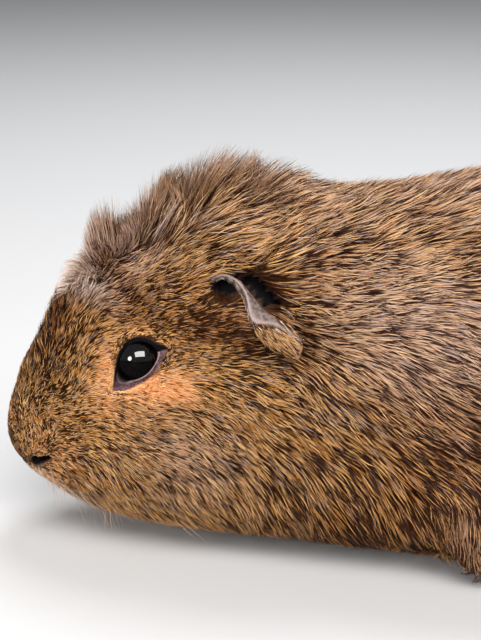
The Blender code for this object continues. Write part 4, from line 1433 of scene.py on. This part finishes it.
def strands(rule, draw):
    """Single long hairs from the skin of both sides, each a curve that sags by a given height."""
    found = []
    for side in SIDES.values():
        for _ in range(rule.count):
            x = draw.uniform(*rule.x)
            if rule.off is None:
                start, aim = Vector((x, side * RAY_FAR, draw.uniform(*rule.z))), Vector((0, -side, 0))
            else:
                start, aim = Vector((x, side * draw.uniform(*rule.off), -5)), Vector((0, 0, 1))
            hit, normal, _, _ = whole_skin.ray_cast(start, aim)
            if hit is None:
                continue
            way = unit(np.array((rule.back, rule.out * side, rule.up)) + draw.normal(0, 0.12, 3))
            long = draw.uniform(*rule.length)
            root = np.array(hit)
            sag = np.array((0, 0, -rule.sag * draw.uniform(0.4, 1.2)))
            across = np.cross(way, np.array(normal))
            found.append((root, root + way * long * 0.5, root + way * long + sag, across))
    root, knee, tip, across = (np.array(part) for part in zip(*found))
    count = len(root)
    width = rule.width * draw.uniform(0.8, 1.2, count)
    kind = np.where(draw.random(count) < rule.dark, 0.0, 1.0)
    tufts = Tufts(root, knee, tip, unit(across), width, draw.uniform(0, 0.35, count), kind)
    paint_all(add_coat(rule.name, tufts, None, LONG_BLADE), pale=rule.pale, dusk=0)


for rule in STRANDS:
    strands(rule, draw)

# %% [markdown]
# ## Lashes
# Short dark lashes fringe the upper lid. They start on the outer rim of the bare skin, and each
# leans away from the middle of the eye and back, so they are worked out from the rim that made the
# lid.

# %% Grow the lashes
LASHES, LASH_WIDTH = 46, 0.10
LASH_ARC = (0.03, 0.42)  # the upper lid's stretch of the rim
lash_share = draw.uniform(*LASH_ARC, LASHES)
lash_parts = []
for side in SIDES.values():
    middle, long_way, up, out = eye_axes(side)
    u, v = rim_point(OUTER, lash_share)
    flat = np.stack([u, v], 1) * 0.97
    ball = np.sqrt(EYE_RADIUS**2 - np.minimum(np.linalg.norm(flat, axis=1), BALL_REACH) ** 2) + 0.4
    root = middle + np.outer(flat[:, 0], long_way) + np.outer(flat[:, 1], up) + np.outer(ball, out)
    away = unit(flat - LID_MIDDLE)
    way = np.outer(away[:, 0], long_way) + np.outer(away[:, 1], up) + out * 0.5 + long_way * 0.5
    way = unit(way + draw.normal(0, 0.2, way.shape))
    long = draw.uniform(0.9, 1.9, len(root))[:, None]
    lash_parts.append((root, root + (way + out * 0.3) * long * 0.5, root + way * long, np.cross(way, out)))
root, knee, tip, across = (np.concatenate(part) for part in zip(*lash_parts))
width, none = np.full(len(root), LASH_WIDTH), np.zeros(len(root))
lashes = add_coat("lashes", Tufts(root, knee, tip, unit(across), width, none, none), None, SHORT_BLADE)
paint_all(lashes, **{kind: 0 for kind in KINDS})

# %% [markdown]
# ## Materials
# A material's maths reads best as plain expressions. A small class wraps one socket, and its
# operators add the nodes, so that 1 - mask or band * gold is written as it is thought.

# %% The class for shader maths
class Wire:
    """One output socket of a material, for expressions."""

    def __init__(self, tree, socket):
        self.tree, self.socket = tree, socket

    def node(self, kind, inputs=None, output=0, **settings):
        """Adds a node: its settings first, then its inputs, by name or number, from numbers or wires."""
        node = self.tree.nodes.new(kind)
        for name, value in settings.items():
            setattr(node, name, value)
        for name, value in (inputs or {}).items():
            if isinstance(value, Wire):
                self.tree.links.new(value.socket, node.inputs[name])
            else:
                node.inputs[name].default_value = value
        return Wire(self.tree, node.outputs[output])

    def maths(self, operation, *values):
        return self.node("ShaderNodeMath", dict(enumerate(values)), operation=operation)

    def __add__(self, other):
        return self.maths("ADD", self, other)

    def __sub__(self, other):
        return self.maths("SUBTRACT", self, other)

    def __rsub__(self, other):
        return self.maths("SUBTRACT", other, self)

    def __mul__(self, other):
        return self.maths("MULTIPLY", self, other)

    __radd__, __rmul__ = __add__, __mul__

    def ease(self, start, end):
        """A soft step that is 0 up to start and 1 from end."""
        return self.node("ShaderNodeMapRange", {0: self, 1: start, 2: end}, interpolation_type="SMOOTHSTEP")

    def mix(self, under, over):
        """The colour under, turned to the colour over where this wire is 1."""
        return self.node("ShaderNodeMix", {0: self, 6: colour(under), 7: colour(over)}, 2, data_type="RGBA")


def colour(value):
    """A wire as it is, and a plain red, green and blue with a full alpha."""
    return value if isinstance(value, Wire) or len(value) == 4 else (*value, 1.0)


def new_material(name, **sockets):
    """A material, a first wire to start expressions from, and its shader with plain sockets set."""
    material = bpy.data.materials.new(name)
    material.use_nodes = True
    tree = material.node_tree
    shader = tree.nodes["Principled BSDF"]
    for socket, value in sockets.items():
        shader.inputs[socket.replace("_", " ")].default_value = value
    start = Wire(tree, shader.outputs[0])
    return material, start, shader


def feed(shader, socket, wire):
    """Leads a wire into a socket of the shader."""
    wire.tree.links.new(wire.socket, shader.inputs[socket])


def number(start, name):
    """A number painted on a piece's points."""
    return start.node("ShaderNodeAttribute", output=2, attribute_name=name)


print("what a wire can do:", [name for name in vars(Wire) if name[0] != "_"])

# %% [markdown]
# ## The agouti colours
# An agouti hair is banded: dark at the root, then gold, then a dark tip. The marks turn the golden
# band towards orange, russet, olive, ash or cream. Russet and olive also darken hollows and the low
# body as painted shadow, and ash lightens the back and crest partly as painted sheen. The skin needs
# the same colours where it shows between hairs, so one function mixes them for both. A painted image
# could hold them too, but it would need a map of its own, and these numbers need none.

# %% The agouti colours
GOLD = (0.69, 0.40, 0.15)
GOLD_DEEP = (0.44, 0.165, 0.022)
DUN = (0.38, 0.255, 0.195)
OLIVE_AND_SHADOW = (0.27, 0.145, 0.035)
ASH_AND_SHEEN = (0.52, 0.39, 0.345)
ORANGE = (0.95, 0.50, 0.24)
ORANGE_DEEP = (0.72, 0.29, 0.09)
CREAM = (0.78, 0.63, 0.52)
RUSSET_AND_SHADOW = (0.28, 0.088, 0.022)
UMBER = (0.036, 0.010, 0.0015)
PLUM = (0.060, 0.027, 0.025)
SOOT = (0.010, 0.005, 0.003)
BLACK = (0.0025, 0.002, 0.0025)


def band_colour(start, mottle):
    """The colour of a hair's golden band, from the marks and a mottle between golds and a dun."""
    band = mottle.ease(0.0, 0.6).mix(GOLD_DEEP, GOLD)
    band = mottle.ease(0.76, 0.84).mix(band, DUN)
    band = (number(start, "ashy") * 0.9).mix(band, ASH_AND_SHEEN)
    band = (number(start, "olive_and_shadow") * 0.85).mix(band, OLIVE_AND_SHADOW)
    band = (number(start, "dusk") * 0.7).mix(band, RUSSET_AND_SHADOW)
    band = number(start, "orange").mix(band, mottle.ease(0.1, 0.7).mix(ORANGE_DEEP, ORANGE))
    return number(start, "pale").mix(band, CREAM)


print("gold of the band, red, green and blue:", GOLD)

# %% [markdown]
# ## The finish of the coat
# How far along a hair a place lies decides root, band or tip, and each hair's own two numbers
# decide its shade and whether it is one of the dark ones. Short hair shows a little more of its
# gold than long hair. A hair shader would be the usual choice, but the export keeps only a plain
# surface.

# %% Coat
coat, start, shader = new_material("agouti_coat", Roughness=0.42, Specular_IOR_Level=0.12)
along, shade, kind, long = (number(start, name) for name in ("along", "shade", "kind", "long"))
SHADES = ("dusk", "orange", "pale", "olive_and_shadow", "ashy")
dusk, orange, pale, olive_and_shadow, ashy = (number(start, name) for name in SHADES)
short = 1 - long.ease(3.0, 7.0)
band = band_colour(start, shade)
vary = (kind * 7.31 + shade * 3.7).maths("FRACT")
vary_tip = (kind * 11.7 + shade * 5.3).maths("FRACT")
# dusk and olive_and_shadow add dark hairs as painted shadow, and ashy takes some away as painted sheen.
dark_share = 0.48 - short * 0.06 + dusk * 0.38 + olive_and_shadow * 0.12 - orange * 0.44 - pale * 0.4 - ashy * 0.25
is_dark = (dark_share - kind).ease(-0.03, 0.03)
band_start = (0.12 + vary * 0.40) * (1 - short * 0.25)
root_dark = 1 - along.ease(band_start, band_start + 0.22)
band_end = 0.64 + vary_tip * 0.5 + short * 0.08
tip_dark = along.ease(band_end, band_end + 0.1) * (1 - orange * 0.9) * (1 - pale)
dark = (ashy * 0.8).mix(UMBER, PLUM)
hair = (root_dark * (1 - orange * 0.8) * (1 - pale) * (1 - ashy * 0.5)).mix(band, dark)
hair = is_dark.mix(hair, dark)
hair = tip_dark.mix(hair, SOOT)
feed(shader, "Base Color", hair)
print("nodes of the coat:", len(start.tree.nodes))

# %% [markdown]
# ## The finish of the skin
# Under the coat the skin shows as underfur: dark, with the band's colours breaking through, so a
# thin place in the coat doesn't look bald, and darker still as painted shadow under the russet
# marks. Lids and ears are bare there and get greys and mauves of their own. Their edges, the
# nostrils and the ears' hollows are black, partly painted shadow, and the ear's rim and the lid's
# wet edge get a pale painted highlight. Fine noise gives all of it a grain.

# %% Skin
hide, start, shader = new_material("skin_and_underfur", Roughness=0.5, Specular_IOR_Level=0.04)
where = start.node("ShaderNodeTexCoord", output=3)
mottle = start.node("ShaderNodeTexNoise", {"Vector": where, "Scale": 900.0, "Detail": 3.0})
grain = start.node("ShaderNodeTexNoise", {"Vector": where, "Scale": 3200.0, "Detail": 2.0})
bare_mask, black_and_shadow_mask = number(start, "bare"), number(start, "black_and_shadow")
orange, dusk = number(start, "orange"), number(start, "dusk")
fur = band_colour(start, mottle.ease(0.35, 0.65))
# dusk darkens the underfur further, as painted shadow.
fur = (0.85 - orange * 0.6 + dusk * 0.25 - mottle.ease(0.5, 0.7) * 0.2).mix(fur, UMBER)
MAUVE = (0.048, 0.021, 0.027)
MAUVE_PALE = (0.15, 0.085, 0.095)
MAUVE_RIM_HIGHLIGHT = (0.36, 0.28, 0.26)
EAR_GREY = (0.075, 0.054, 0.046)
EAR_PALE = (0.19, 0.145, 0.13)
naked = (mottle * 0.5 + grain * 0.5).ease(0.40, 0.60).mix(MAUVE, MAUVE_PALE)
naked = number(start, "ear").mix(naked, mottle.ease(0.35, 0.65).mix(EAR_GREY, EAR_PALE))
# A pale painted highlight on the ear's rim and the lid's wet edge.
naked = number(start, "pale_rim_and_highlight").mix(naked, MAUVE_RIM_HIGHLIGHT)
surface = bare_mask.mix(fur, naked)
# Black skin: dark edges, and painted shadow on the upper lid, in the ears' hollows and in nostrils and
# mouth.
surface = black_and_shadow_mask.mix(surface, BLACK)
feed(shader, "Base Color", surface)
feed(shader, "Roughness", 0.65 - bare_mask * 0.15)
bumps = {"Height": mottle * 0.6 + grain * 0.4, "Strength": 0.35, "Distance": 0.0004}
feed(shader, "Normal", start.node("ShaderNodeBump", bumps))
print("nodes of the skin:", len(start.tree.nodes))

# %% [markdown]
# ## The finish of eye and claw
# A guinea pig's eye is nearly black and wet, so it is a dark ball under a clear layer that mirrors
# the lamps. In life its lower half mirrors dark fur and ground. The pale floor of this scene would
# whiten it, so only the upper half has the layer. Claws are brown horn with a fine grain.

# %% Eye and claw
WET_FROM, WET_FULL = 0.0529, 0.0535  # the clear layer fades in between these heights, in metres
eye_finish, start, shader = new_material(
    "wet_eye", Roughness=0.3, Specular_IOR_Level=0.0, Coat_Roughness=0.03, Coat_IOR=1.75)
where = start.node("ShaderNodeTexCoord", output=3)
height = start.node("ShaderNodeSeparateXYZ", {0: where}, 2)
feed(shader, "Coat Weight", 0.04 + height.ease(WET_FROM, WET_FULL) * 0.96)
streak = start.node("ShaderNodeTexNoise", {"Vector": where, "Scale": 700.0, "Detail": 2.0})
feed(shader, "Base Color", streak.ease(0.4, 0.75).mix((0.001, 0.001, 0.001), (0.004, 0.0025, 0.002)))
horn, start, shader = new_material("claw_horn", Roughness=0.42, Specular_IOR_Level=0.4)
where = start.node("ShaderNodeTexCoord", output=3)
grain = start.node("ShaderNodeTexNoise", {"Vector": where, "Scale": 1500.0, "Detail": 3.0})
feed(shader, "Base Color", grain.ease(0.3, 0.7).mix((0.10, 0.065, 0.05), (0.26, 0.19, 0.15)))
feed(shader, "Normal", start.node("ShaderNodeBump", {"Height": grain, "Strength": 0.3, "Distance": 0.0002}))
print("materials:", [coat.name, hide.name, eye_finish.name, horn.name])

# %% [markdown]
# ## Dressing the pieces
# Each piece gets its finish and the body that it rides on. All of it rides on the one body, since
# nothing moves. The skin takes the place of the flesh, legs, feet and ears of the solid part, which
# are hidden, and each eye's ball takes the place of its solid.

# %% Dress the pieces
def finish_piece(piece, material):
    """Gives a piece its material and the body that it rides on."""
    piece.data.materials.clear()
    piece.data.materials.append(material)
    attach(piece, "root")


for piece in coat_pieces:
    finish_piece(piece, coat)
finish_piece(skin, hide)
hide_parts(*FLESH, *LEGS, *FEET, *EARS)
for piece, node in zip(eye_pieces, ("eye_left", "eye_right")):
    finish_piece(piece, eye_finish)
    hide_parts(node)
for piece in claw_pieces:
    finish_piece(piece, horn)
print("coat triangles:", sum(len(p.data.loops) - 2 * len(p.data.polygons) for p in coat_pieces))

# %% [markdown]
# ## The sizes
# The box of the solid part was measured when it was loaded. The dressed part must stay close
# to the box of the solid one. Its hair may pass it by a few millimetres.
